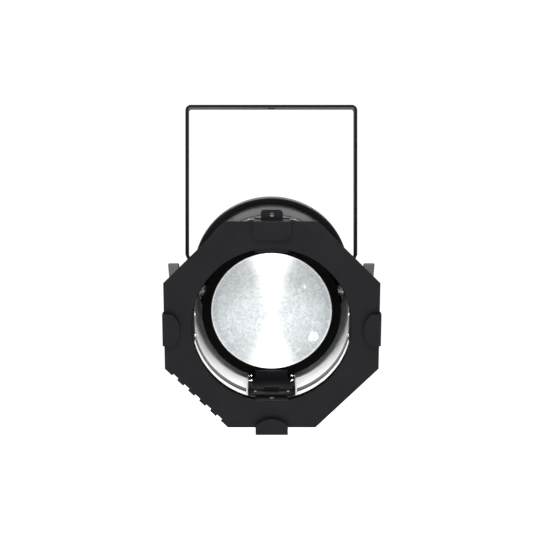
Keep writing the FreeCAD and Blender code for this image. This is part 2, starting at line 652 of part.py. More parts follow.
# ---------------------------------------------------------------- rear shell and panel
def rear_shell():
    """Cast rear cover: collar over the barrel, tapered body with two rows of air slots, screw bosses."""
    tail = SHELL_REAR_R
    lip = PANEL_R + 0.4
    cone_y = COLLAR_Y1 + 4.5
    edge_y = SHELL_REAR - 6.0
    bore = BARREL_R + 0.15
    outer = [(bore, COLLAR_Y0), (COLLAR_R - 1.2, COLLAR_Y0), (COLLAR_R, COLLAR_Y0 + 1.2),
             (COLLAR_R, COLLAR_Y1 - 1.5), (COLLAR_R - 1.5, COLLAR_Y1), (101.6, COLLAR_Y1 + 1.2),
             (100.4, cone_y), (tail, edge_y), (tail - 1.1, SHELL_REAR - 2.0), (tail - 3.2, SHELL_REAR)]
    inner = [(lip, SHELL_REAR), (lip, PANEL_Y - 2.4), (lip + 1.4, PANEL_Y - 4.0), (97.6, cone_y),
             (96.0, COLLAR_Y1 + 1.0), (96.0, BARREL_REAR + 0.3), (bore, BARREL_REAR + 0.3)]
    envelope = turned([(0, cone_y), (99.4, cone_y), (tail - 1.0, edge_y), (0, edge_y)])
    boss = block(PANEL_SCREW_R - 4.5, 90, PANEL_Y - 16.0, PANEL_Y - PANEL_SHEET - 0.05, -4.5, 4.5)
    bosses = [about_axis(boss, angle).common(envelope) for angle in PANEL_SCREW_ANGLES]
    shell = joined(turned(outer + inner), *bosses)
    slots = air_slots(COLLAR_Y1 + 14.0, 0.0) + air_slots(COLLAR_Y1 + 42.0, 7.5)
    return cut_all(shell, slots + collar_screws() + panel_screws())


def air_slots(y0, phase):
    """One row of round-ended slots round the sides and the bottom of the rear shell."""
    y1, half, step = y0 + 16.0, 2.0, 15
    slot = joined(block(70, 110, y0, y1, -half, half), rod_x(half, 70, 110, y0), rod_x(half, 70, 110, y1))
    turns = [step * n + phase for n in range(24)]
    return [about_axis(slot, turn) for turn in turns if not 10 < turn < 170]


def collar_screws():
    """Screws through the collar into the barrel."""
    screw = joined(rod_x(1.8, 95.2, COLLAR_R), rod_x(3.2, COLLAR_R - 0.8, COLLAR_R + 0.5))
    screw.translate(Vector(0, (COLLAR_Y0 + BARREL_REAR) / 2, 0))
    return [about_axis(screw, angle) for angle in COLLAR_SCREW_ANGLES]


def barrel_screws():
    return holder_screws() + side_screws() + collar_screws()


def rear_panel():
    """Round panel with cut-outs for the display, the buttons, the fuse and the sockets."""
    y0, y1 = PANEL_Y - 3, PANEL_Y + 1
    tools = [block(-19, 19, y0, y1, DISPLAY_Z - 6, DISPLAY_Z + 6), rod_y(6.2, y0, y1, 0, DATA_Z)]
    tools += [rod_y(3.4, y0, y1, x, BUTTON_Z) for x in BUTTON_X]
    tools.append(block(SOCKET_X - 3.3, SOCKET_X + 3.3, y0, y1, DATA_Z + 9.0, DATA_Z + 13.9))
    for side in (-1, 1):
        tools.append(rod_y(11.8, y0, y1, side * SOCKET_X, DATA_Z))
        middle = side * MAINS_X
        tools.append(block(middle - 13.6, middle + 13.6, y0, y1, MAINS_Z - 10.1, MAINS_Z + 10.1))
    disc = rod_y(PANEL_R, PANEL_Y - PANEL_SHEET, PANEL_Y)
    return cut_all(disc, tools + panel_screws() + socket_screws() + safety_rivets())


def panel_screws():
    """Four screws at the panel's edge."""
    screws = []
    for angle in PANEL_SCREW_ANGLES:
        turn = math.radians(angle)
        x, z = PANEL_SCREW_R * math.cos(turn), PANEL_SCREW_R * math.sin(turn)
        head = rod_y(3.0, PANEL_Y, PANEL_Y + 2.0, x, z)
        screws.append(joined(head, rod_y(1.6, PANEL_Y - 12.0, PANEL_Y + 0.5, x, z)))
    return screws


def button():
    """One push button, its skirt behind the panel."""
    cap = rod_y(3.1, PANEL_Y - 5.2, PANEL_Y + 2.2)
    cap = softened(cap, 0.7, lambda e: closed_ring(e) and near(e.CenterOfMass.y, PANEL_Y + 2.2))
    return joined(cap, rod_y(4.6, PANEL_Y - 5.2, PANEL_Y - 3.6))


def display_window():
    return block(-21, 21, PANEL_Y + 0.05, PANEL_Y + 1.2, DISPLAY_Z - 8, DISPLAY_Z + 8)


# ---------------------------------------------------------------- sockets
DATA_BODY_R = 11.7
PIN_TURNS = [math.radians(angle) for angle in (150.0, 30.0, 270.0)]
PIN_CIRCLE = [(3.5 * math.cos(turn), 3.5 * math.sin(turn)) for turn in PIN_TURNS]
BLADES = ((-7.0, -2.0), (7.0, -2.0), (0.0, 3.0))


def data_body():
    """Flange and round shell that both data sockets share, with the axis at the origin."""
    flange = softened(block(-13, 13, PANEL_Y, PANEL_Y + 2.0, -15.5, 15.5), 2.0, lambda e: square_to(Y, e))
    return joined(flange, rod_y(DATA_BODY_R, PANEL_Y - 20, PANEL_Y + 4.5))


def data_inlet():
    """Three-pin male panel socket."""
    socket = data_body().cut(rod_y(9.6, PANEL_Y - 14, PANEL_Y + 6))
    socket.translate(Vector(-SOCKET_X, 0, DATA_Z))
    return cut_all(socket, socket_screws() + data_pins())


def data_pins():
    """Three contact pins on a circle."""
    return [rod_y(1.15, PANEL_Y - 18, PANEL_Y + 1.5, -SOCKET_X + x, DATA_Z + z) for x, z in PIN_CIRCLE]


def data_outlet():
    """Three-hole female panel socket with a slot for its release tab."""
    groove = rod_y(9.8, PANEL_Y - 10, PANEL_Y + 6).cut(rod_y(7.8, PANEL_Y - 11, PANEL_Y + 7))
    tab_slot = block(-3.3, 3.3, PANEL_Y - 4, PANEL_Y + 6, 9.9, 13.9)
    holes = [rod_y(1.3, PANEL_Y - 12, PANEL_Y + 6, x, z) for x, z in PIN_CIRCLE]
    socket = cut_all(data_body(), [groove, tab_slot] + holes)
    socket.translate(Vector(SOCKET_X, 0, DATA_Z))
    return cut_all(socket, socket_screws())


def release_tab():
    """Push tab that frees a plugged-in data connector."""
    tab = block(-3.0, 3.0, PANEL_Y - 1.6, PANEL_Y + 5.2, 10.2, 13.6)
    tab = softened(tab, 0.6, lambda e: near(e.CenterOfMass.y, PANEL_Y + 5.2))
    tab.translate(Vector(SOCKET_X, 0, DATA_Z))
    return tab


def socket_screws():
    """Two screws for each data socket, at opposite corners of its flange."""
    screws = []
    for side in (-1, 1):
        for dx, dz in ((-9.8, 12.0), (9.8, -12.0)):
            x, z = side * SOCKET_X + dx, DATA_Z + dz
            head = rod_y(2.4, PANEL_Y + 1.2, PANEL_Y + 2.5, x, z)
            screws.append(joined(head, rod_y(1.4, PANEL_Y - 5.0, PANEL_Y + 1.5, x, z)))
    return screws


def mains_socket(side, tools):
    """Snap-in mains socket: flange and body, with the cavities that the tools cut."""
    flange = softened(block(-15.5, 15.5, PANEL_Y, PANEL_Y + 2.5, -12, 12), 2.0, lambda e: square_to(Y, e))
    body = block(-13.5, 13.5, PANEL_Y - 22, PANEL_Y + 0.5, -10, 10)
    socket = cut_all(joined(flange, body), tools)
    socket.translate(Vector(side * MAINS_X, 0, MAINS_Z))
    return socket


def keyed_outline(grow):
    """Six-sided plug outline with two clipped corners."""
    side, low, high, clip_x, clip_z = 11.4 + grow, -8.0 - grow, 8.0 + grow, 7.0 + grow, 3.5 + grow
    return [(-side, low), (side, low), (side, clip_z), (clip_x, high), (-clip_x, high), (-side, clip_z)]


def power_inlet():
    """Mains socket with a plug cavity, for the blades to stand in."""
    cavity = plate_xz(keyed_outline(0), PANEL_Y - 16, PANEL_Y + 4)
    return cut_all(mains_socket(-1, [cavity]), inlet_blades())


def power_outlet():
    """Mains socket with a shallow keyed recess and three blade slots."""
    recess = plate_xz(keyed_outline(0.2), PANEL_Y + 1.4, PANEL_Y + 4)
    slots = [block(x - 1.1, x + 1.1, PANEL_Y - 14, PANEL_Y + 4, z - 2.6, z + 2.6) for x, z in BLADES]
    return mains_socket(1, [recess] + slots)


def inlet_blades():
    """Three flat contact blades in the inlet's cavity."""
    places = [(x - MAINS_X, z + MAINS_Z) for x, z in BLADES]
    return [block(x - 1, x + 1, PANEL_Y - 20, PANEL_Y - 2, z - 2, z + 2) for x, z in places]


def fuse_holder():
    """Body of the fuse holder with its rim in front of the panel."""
    body = rod_y(6.1, PANEL_Y - 24, PANEL_Y + 0.5, 0, DATA_Z)
    rim = rod_y(8.2, PANEL_Y, PANEL_Y + 2.0, 0, DATA_Z)
    return joined(body, rim).cut(rod_y(4.36, PANEL_Y - 20, PANEL_Y + 3, 0, DATA_Z))


def fuse_cap():
    """Bayonet cap with a screwdriver slot and a stub that carries the fuse."""
    cap = rod_y(6.4, PANEL_Y + 2.1, PANEL_Y + 8.0, 0, DATA_Z)
    cap = softened(cap, 0.8, lambda e: closed_ring(e) and near(e.CenterOfMass.y, PANEL_Y + 8.0))
    stub = rod_y(4.3, PANEL_Y - 16, PANEL_Y + 3, 0, DATA_Z)
    slot = block(-5.2, 5.2, PANEL_Y + 6.8, PANEL_Y + 9, DATA_Z - 0.7, DATA_Z + 0.7)
    return joined(cap, stub).cut(slot)


# ---------------------------------------------------------------- safety point
def safety_eye():
    """Bent steel tab with a round eye for a safety cable, standing out of the rear panel."""
    half, reach = 11.0, 20.0
    pad = block(-half, half, PANEL_Y, PANEL_Y + 2.0, EYE_Z - 6, EYE_Z + 5)
    leg = block(-half, half, PANEL_Y, PANEL_Y + reach, EYE_Z - 8, EYE_Z - 6)
    leg = softened(leg, 7.0, lambda e: square_to(Z, e) and near(e.CenterOfMass.y, PANEL_Y + reach))
    eye = joined(pad, leg).cut(rod_z(5.0, EYE_Z - 10, EYE_Z - 3, 0, PANEL_Y + 11.0))
    return cut_all(eye, safety_rivets())


def safety_rivets():
    """Two rivets through the eye's pad and the panel, with a head at each end."""
    rivets = []
    for x in (-6.0, 6.0):
        shank = rod_y(1.8, PANEL_Y - 2.5, PANEL_Y + 2.5, x, EYE_Z)
        outer_head = rod_y(3.0, PANEL_Y + 2.0, PANEL_Y + 3.2, x, EYE_Z)
        inner_head = rod_y(3.0, PANEL_Y - 2.6, PANEL_Y - PANEL_SHEET, x, EYE_Z)
        rivets.append(joined(shank, outer_head, inner_head))
    return rivets


# ---------------------------------------------------------------- nodes
def both_sides(shape):
    return [mirrored(shape), shape]


def yoke_nodes():
    """Nodes that hang upright under the mounting point."""
    nodes = {"yoke_bracket": yoke_bracket(), "friction_washers": both_sides(friction_washer()),
             "tilt_washers": both_sides(steel_washer())}
    nodes["tilt_knob_left"], nodes["tilt_knob_right"] = both_sides(wing_knob())
    nodes["tilt_stud_left"], nodes["tilt_stud_right"] = both_sides(knob_stud())
    return nodes


def head_nodes():
    """Every node that moves with the head, in the head's own frame."""
    side_clip = cut_all(clip(SIDE_REACH), clip_rivets())
    nodes = {
        "barrel": barrel(), "barrel_liner": barrel_liner(), "mouth_band": mouth_band(),
        "holder_ring": cut_all(holder_ring(), holder_screws() + clip_rivets()),
        "barrel_screws": barrel_screws(),
        "clip_left": mirrored(side_clip), "clip_right": side_clip,
        "clip_bottom": cut_all(about_axis(clip(END_REACH), 270), holder_screws()),
        "latch_bracket": cut_all(latch_bracket(), clip_rivets()), "latch_flap": latch_flap(),
        "latch_pin": latch_pin(), "latch_springs": latch_springs(),
        "colour_frame": colour_frame(), "frame_pad": frame_pad(),
        "pivot_saddles": both_sides(pivot_saddle()), "pivot_nuts": both_sides(pivot_nut()),
        "slide_rail": slide_rail(), "rivets": clip_rivets() + rail_rivets() + safety_rivets(),
        "lens": lens(), "lens_holder": lens_holder(), "lens_retainer": lens_retainer(),
        "carriage_foot": carriage_foot(), "guide_screws": guide_screws(),
        "zoom_thumbscrew": zoom_thumbscrew(),
        "bulkhead": bulkhead(), "heat_sink": heat_sink(),
        "led_module": led_module(), "led_clamp": led_clamp(), "reflector": reflector(),
        "fan_frame": fan_frame(), "fan_rotor": fan_rotor(), "fan_posts": fan_posts(),
        "driver_case": driver_case(), "driver_bracket": driver_bracket(),
        "control_board": control_board(), "display_window": display_window(),
        "rear_shell": rear_shell(), "rear_panel": rear_panel(),
        "panel_screws": panel_screws() + socket_screws(),
        "data_inlet": data_inlet(), "data_outlet": data_outlet(), "release_tab": release_tab(),
        "contact_pins": data_pins() + inlet_blades(),
        "power_inlet": power_inlet(), "power_outlet": power_outlet(),
        "fuse_holder": fuse_holder(), "fuse_cap": fuse_cap(), "safety_eye": safety_eye(),
    }
    for n, x in enumerate(BUTTON_X, 1):
        nodes[f"button_{n}"] = button().translated(Vector(x, 0, BUTTON_Z))
    return nodes


def save(name, shape, place):
    """Writes one node, or a group of solids that share one."""
    solids = shape if isinstance(shape, list) else [shape]
    placed = [place(solid) for solid in solids]
    node = Part.makeCompound(placed) if len(placed) > 1 else placed[0]
    state = "ok" if node.isValid() else "INVALID"
    print(f"{name}: {state}, {len(node.Solids)} solids, {node.Volume / 1000:.2f} cm3")
    node.exportStep(f"parts/{name}.step")


def main():
    os.makedirs("parts", exist_ok=True)
    for name, shape in yoke_nodes().items():
        save(name, shape, place_yoke)
    for name, shape in head_nodes().items():
        save(name, shape, place_head)


main()
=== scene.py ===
"""A stage par can light, dressed over its CAD frame: modelled details, finishes, a pale studio and a camera.

Sizes in this file are millimetres, and the head's pieces are made in the head's own frame: the tilt pivot is
the origin, the optical axis is Y and the front of the light faces -Y. The meshes hold metres, and
Bench.on_head() moves each one to the part's own frame.
"""
import json
import logging
import math
from dataclasses import dataclass, field
from enum import Enum
from typing import Iterable, Optional, Sequence, Union

import bpy
from bpy.types import Material, Object
from mathutils import Matrix, Quaternion, Vector


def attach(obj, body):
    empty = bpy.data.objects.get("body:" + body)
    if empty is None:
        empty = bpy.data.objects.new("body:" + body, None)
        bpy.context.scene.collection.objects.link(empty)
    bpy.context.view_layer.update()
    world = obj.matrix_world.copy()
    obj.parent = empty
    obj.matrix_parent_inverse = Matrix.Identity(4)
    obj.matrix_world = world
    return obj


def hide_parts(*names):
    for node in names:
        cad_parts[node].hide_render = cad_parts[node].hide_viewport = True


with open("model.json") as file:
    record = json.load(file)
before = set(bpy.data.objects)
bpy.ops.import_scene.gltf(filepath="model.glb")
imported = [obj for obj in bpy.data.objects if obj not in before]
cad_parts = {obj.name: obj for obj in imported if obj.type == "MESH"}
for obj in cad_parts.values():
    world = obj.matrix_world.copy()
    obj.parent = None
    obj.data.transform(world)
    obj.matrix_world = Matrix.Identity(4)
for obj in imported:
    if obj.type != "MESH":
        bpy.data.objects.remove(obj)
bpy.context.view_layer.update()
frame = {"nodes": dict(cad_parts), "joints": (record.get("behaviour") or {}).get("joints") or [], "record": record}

logging.basicConfig(level=logging.INFO, format="%(levelname)s %(message)s")
log = logging.getLogger("par_can")

MM = 0.001
Colour = tuple[float, float, float]
Outline = Sequence[tuple[float, float]]


# ------------------------------------------------------------------ where things are
@dataclass(frozen=True)
class Box:
    """Lowest and highest corners of something, in millimetres."""

    low: Vector
    high: Vector

    @classmethod
    def around(cls, points: Iterable[Vector]) -> "Box":
        """The box round some points.

        Args:
            points: the points to enclose.

        Returns:
            Their box.
        """
        held = list(points)
        low = Vector([min(p[i] for p in held) for i in range(3)])
        high = Vector([max(p[i] for p in held) for i in range(3)])
        return cls(low, high)

    @property
    def middle(self) -> Vector:
        """The box's centre."""
        return (self.low + self.high) / 2

    @property
    def size(self) -> Vector:
        """The box's length along each axis."""
        return self.high - self.low


class HeadFrame:
    """The tilted head's own frame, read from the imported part's joints."""

    def __init__(self, joints: list[dict]) -> None:
        """Finds the pivot and the tilt.

        Args:
            joints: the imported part's joints.
        """
        by_name = {joint["name"]: joint for joint in joints}
        slide = by_name["zoom_slide"]["axis"]
        self.pivot = Vector(by_name["head_tilt"]["pos_m"])
        self.tilt = math.atan2(slide[2], slide[1])
        self.matrix = Matrix.Translation(self.pivot) @ Matrix.Rotation(self.tilt, 4, "X")
        self.inverse = self.matrix.inverted()

    def points(self, node: str) -> list[Vector]:
        """A CAD node's points in the head's frame, in millimetres.

        Args:
            node: the node's name.

        Returns:
            One vector for each of its mesh's vertices.
        """
        return [(self.inverse @ v.co) / MM for v in frame["nodes"][node].data.vertices]

    def box(self, node: str) -> Box:
        """The node's box in the head's frame."""
        return Box.around(self.points(node))

    def pieces(self, node: str) -> list[list[Vector]]:
        """Splits a node into its separate solids.

        Args:
            node: the node's name.

        Returns:
            The points of each solid, sorted by where the solid is.
        """
        mesh = frame["nodes"][node].data
        points = self.points(node)
        keys = [tuple(round(c * 200) for c in p) for p in points]
        leader: dict[tuple, tuple] = {key: key for key in keys}

        def root(key: tuple) -> tuple:
            """Follows a point to its group's leader."""
            while leader[key] != key:
                leader[key] = leader[leader[key]]
                key = leader[key]
            return key

        for face in mesh.polygons:
            first, *rest = [keys[i] for i in face.vertices]
            for other in rest:
                leader[root(other)] = root(first)
        groups: dict[tuple, list[Vector]] = {}
        for key, point in zip(keys, points):
            groups.setdefault(root(key), []).append(point)
        return sorted(groups.values(), key=lambda g: tuple(round(c, 1) for c in Box.around(g).middle))


HEAD = HeadFrame(frame["joints"])
BODY_OF = {node: body for body, nodes in frame["record"]["behaviour"]["bodies"].items() for node in nodes}
SLOT_OF = {part["node"]: part["material_slot"] for part in frame["record"]["subparts"]}


# ------------------------------------------------------------------ modelling
class Bench:
    """The modelling operators, each used on one piece at a time."""

    @staticmethod
    def pick(*pieces: Object) -> None:
        """Selects only these pieces, and makes the first one active."""
        if bpy.context.mode != "OBJECT":
            bpy.ops.object.mode_set(mode="OBJECT")
        bpy.ops.object.select_all(action="DESELECT")
        for piece in pieces:
            piece.hide_set(False)
            piece.select_set(True)
        bpy.context.view_layer.objects.active = pieces[0]

    @staticmethod
    def named(name: str) -> Object:
        """Names the active object and its mesh, and returns it."""
        piece = bpy.context.active_object
        piece.name = name
        piece.data.name = name
        return piece

    @staticmethod
    def cube(name: str, low: Sequence[float], high: Sequence[float]) -> Object:
        """A box between two corners, its place already in its mesh.

        Args:
            name: the new piece's name.
            low: lowest corner.
            high: highest corner.

        Returns:
            The new piece.
        """
        box = Box(Vector(low), Vector(high))
        bpy.ops.object.select_all(action="DESELECT")
        bpy.ops.mesh.primitive_cube_add(size=1, location=box.middle * MM)
        piece = Bench.named(name)
        piece.scale = box.size * MM
        Bench.apply_place(piece)
        return piece

    @staticmethod
    def rod(name: str, radius: float, start: Sequence[float], end: Sequence[float],
            sides: int = 32) -> Object:
        """A round bar between two points.

        Args:
            name: the new piece's name.
            radius: the bar's radius.
            start: centre of one end.
            end: centre of the other end.
            sides: how many sides its section has.

        Returns:
            The new piece.
        """
        run = Vector(end) - Vector(start)
        bpy.ops.object.select_all(action="DESELECT")
        bpy.ops.mesh.primitive_cylinder_add(vertices=sides, radius=radius * MM, depth=run.length * MM,
                                            location=(Vector(start) + run / 2) * MM,
                                            rotation=run.to_track_quat("Z", "Y").to_euler())
        piece = Bench.named(name)
        Bench.apply_place(piece)
        return piece

    @staticmethod
    def turned(name: str, outline: Outline, steps: int = 96, closed: bool = True) -> Object:
        """Turns an outline about the optical axis, by extruding one point along it and spinning the line.

        Args:
            name: the new piece's name.
            outline: (radius, y) points, in order.
            steps: how many steps the full turn has.
            closed: whether the last point joins the first one.

        Returns:
            The new piece.
        """
        bpy.ops.object.select_all(action="DESELECT")
        bpy.ops.mesh.primitive_plane_add(size=MM)
        piece = Bench.named(name)
        bpy.ops.object.mode_set(mode="EDIT")
        bpy.ops.mesh.select_mode(type="VERT")
        bpy.ops.mesh.select_all(action="SELECT")
        bpy.ops.mesh.merge(type="CENTER")
        here = Vector((0, 0, 0))
        for number, (radius, y) in enumerate(outline):
            there = Vector((radius, y, 0)) * MM
            if number == 0:
                bpy.ops.transform.translate(value=there - here)
            else:
                bpy.ops.mesh.extrude_region_move(TRANSFORM_OT_translate={"value": there - here})
            here = there
        if closed:
            Bench.close_line(piece, len(outline) - 1)
        bpy.ops.mesh.select_all(action="SELECT")
        bpy.ops.mesh.spin(steps=steps, angle=math.tau, center=(0, 0, 0), axis=(0, 1, 0))
        Bench.mend(piece)
        return piece

    @staticmethod
    def close_line(piece: Object, last: int) -> None:
        """Joins the first and last points of a line with an edge.

        Args:
            piece: the piece in edit mode.
            last: the index of the last point.
        """
        bpy.ops.mesh.select_all(action="DESELECT")
        bpy.ops.object.mode_set(mode="OBJECT")
        piece.data.vertices[0].select = True
        piece.data.vertices[last].select = True
        bpy.ops.object.mode_set(mode="EDIT")
        bpy.ops.mesh.edge_face_add()

    @staticmethod
    def mend(piece: Object, gap: float = 0.002) -> None:
        """Merges doubles and turns the faces outwards.

        Args:
            piece: the piece to mend.
            gap: points nearer than this are one point.
        """
        Bench.pick(piece)
        bpy.ops.object.mode_set(mode="EDIT")
        bpy.ops.mesh.select_all(action="SELECT")
        bpy.ops.mesh.remove_doubles(threshold=gap * MM)
        bpy.ops.mesh.dissolve_degenerate(threshold=gap * MM / 4)
        bpy.ops.mesh.select_all(action="SELECT")
        bpy.ops.mesh.normals_make_consistent(inside=False)
        bpy.ops.object.mode_set(mode="OBJECT")

    @staticmethod
    def apply_place(piece: Object) -> None:
        """Puts an object's place, turn and scale into its mesh."""
        Bench.pick(piece)
        bpy.ops.object.transform_apply(location=True, rotation=True, scale=True)

    @staticmethod
    def apply(piece: Object, kind: str, **settings: object) -> None:
        """Adds a modifier, sets it and applies it.

        Args:
            piece: the piece to change.
            kind: the modifier's type.
            settings: its settings, by name.
        """
        Bench.pick(piece)
        modifier = piece.modifiers.new(kind.lower(), kind)
        for key, value in settings.items():
            setattr(modifier, key, value)
        bpy.ops.object.modifier_apply(modifier=modifier.name)

    @staticmethod
    def cut(piece: Object, *tools: Object) -> Object:
        """Cuts tools out of a piece and throws the tools away.

        Args:
            piece: what is cut.
            tools: what it is cut with.

        Returns:
            The piece.
        """
        for tool in tools:
            Bench.apply(piece, "BOOLEAN", operation="DIFFERENCE", object=tool, solver="EXACT")
            bpy.data.objects.remove(tool)
        return piece

    @staticmethod
    def joined(name: str, pieces: Sequence[Object]) -> Object:
        """Makes several pieces one object.

        Args:
            name: the new name.
            pieces: what is joined, the first one first.

        Returns:
            The object that holds them all.
        """
        Bench.pick(*pieces)
        if len(pieces) > 1:
            bpy.ops.object.join()
        return Bench.named(name)

    @staticmethod
    def copy(piece: Object, name: str) -> Object:
        """A copy of a piece with its own mesh."""
        twin = piece.copy()
        twin.data = piece.data.copy()
        twin.name = name
        twin.data.name = name
        bpy.context.scene.collection.objects.link(twin)
        return twin

    @staticmethod
    def place(piece: Object, matrix: Matrix) -> Object:
        """Moves or turns a piece, straight into its mesh."""
        piece.matrix_world = matrix
        Bench.apply_place(piece)
        return piece

    @staticmethod
    def ease(piece: Object, width: float, segments: int = 2, angle: float = 30.0) -> Object:
        """Rounds a piece's sharp edges, as a maker breaks them.

        Args:
            piece: the piece to ease.
            width: how wide the rounding is.
            segments: how many facets it has.
            angle: edges sharper than this, in degrees, are rounded.

        Returns:
            The piece.
        """
        Bench.smooth(piece, angle)
        Bench.apply(piece, "BEVEL", width=width * MM, segments=segments, limit_method="ANGLE",
                    angle_limit=math.radians(angle), harden_normals=True, use_clamp_overlap=True,
                    miter_outer="MITER_ARC")
        return piece

    @staticmethod
    def smooth(piece: Object, angle: float = 35.0) -> Object:
        """Shades a piece smooth except across sharp edges."""
        Bench.pick(piece)
        bpy.ops.object.shade_smooth_by_angle(angle=math.radians(angle))
        return piece

    @staticmethod
    def from_cad(node: str, name: str) -> Object:
        """A clean copy of a CAD node: its loose triangles merged, its flat faces whole again.

        Args:
            node: the CAD node.
            name: the copy's name.

        Returns:
            The copy, riding on nothing yet.
        """
        source = frame["nodes"][node]
        piece = bpy.data.objects.new(name, source.data.copy())
        piece.data.name = name
        bpy.context.scene.collection.objects.link(piece)
        piece.data.materials.clear()
        Bench.pick(piece)
        if piece.data.has_custom_normals:
            bpy.ops.mesh.customdata_custom_splitnormals_clear()
        bpy.ops.object.mode_set(mode="EDIT")
        bpy.ops.mesh.select_all(action="SELECT")
        bpy.ops.mesh.remove_doubles(threshold=0.001 * MM)
        bpy.ops.mesh.dissolve_limited(angle_limit=math.radians(0.6))
        bpy.ops.object.mode_set(mode="OBJECT")
        return piece

    @staticmethod
    def on_head(piece: Object) -> Object:
        """Moves a piece made in the head's frame to the part's frame."""
        return Bench.place(piece, HEAD.matrix)

    @staticmethod
    def finish(piece: Object, finish: "Finish", stands_for: Sequence[str]) -> Object:
        """Dresses a piece and hangs it on its body.

        Args:
            piece: the finished piece.
            finish: its material.
            stands_for: the CAD nodes that it replaces; it rides on the first one's body.

        Returns:
            The piece.
        """
        finish.dress(piece)
        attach(piece, BODY_OF[stands_for[0]])
        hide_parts(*stands_for)
        return piece


def arc(centre: tuple[float, float], radius: float, start: float, end: float,
        count: int) -> list[tuple[float, float]]:
    """Points on an arc in the (radius, y) plane.

    Args:
        centre: the arc's centre.
        radius: its radius.
        start: first angle in degrees, where 0 is outwards and 90 is rearwards.
        end: last angle.
        count: how many points.

    Returns:
        The points, both ends among them.
    """
    turns = [math.radians(start + (end - start) * n / (count - 1)) for n in range(count)]
    return [(centre[0] + radius * math.cos(t), centre[1] + radius * math.sin(t)) for t in turns]


# ------------------------------------------------------------------ shader maths
Value = Union["Wire", float, int, tuple]


class Wire:
    """One output of a shader node, which takes part in Python expressions."""

    def __init__(self, graph: "Graph", socket: bpy.types.NodeSocket) -> None:
        """Holds the node tree and the socket."""
        self.graph = graph
        self.socket = socket

    def maths(self, operation: str, first: Value, second: Value = 0.0, clamp: bool = False) -> "Wire":
        """Adds one Math node.

        Args:
            operation: the node's operation.
            first: its first value.
            second: its second value.
            clamp: whether the result is kept between 0 and 1.

        Returns:
            The node's result.
        """
        settings = {"operation": operation, "use_clamp": clamp}
        return self.graph.node("ShaderNodeMath", settings, {0: first, 1: second})

    def __add__(self, other: Value) -> "Wire":
        """self + other."""
        return self.maths("ADD", self, other)

    def __radd__(self, other: Value) -> "Wire":
        """other + self."""
        return self.maths("ADD", other, self)

    def __sub__(self, other: Value) -> "Wire":
        """self - other."""
        return self.maths("SUBTRACT", self, other)

    def __rsub__(self, other: Value) -> "Wire":
        """other - self."""
        return self.maths("SUBTRACT", other, self)

    def __mul__(self, other: Value) -> "Wire":
        """self * other."""
        return self.maths("MULTIPLY", self, other)

    def __truediv__(self, other: Value) -> "Wire":
        """self / other."""
        return self.maths("DIVIDE", self, other)

    def __pow__(self, other: Value) -> "Wire":
        """self ** other."""
        return self.maths("POWER", self, other)

    def __abs__(self) -> "Wire":
        """The size of self, without its sign."""
        return self.maths("ABSOLUTE", self)

    def clamped(self) -> "Wire":
        """self, kept between 0 and 1."""
        return self.maths("ADD", self, 0.0, clamp=True)

    def between(self, low: float, high: float) -> "Wire":
        """0 below low and 1 above high, smooth in between.

        Args:
            low: where the rise starts.
            high: where it ends; may be below low for a fall.

        Returns:
            The smooth step.
        """
        settings = {"interpolation_type": "SMOOTHSTEP", "clamp": True}
        values = {"Value": self, "From Min": low, "From Max": high}
        return self.graph.node("ShaderNodeMapRange", settings, values)


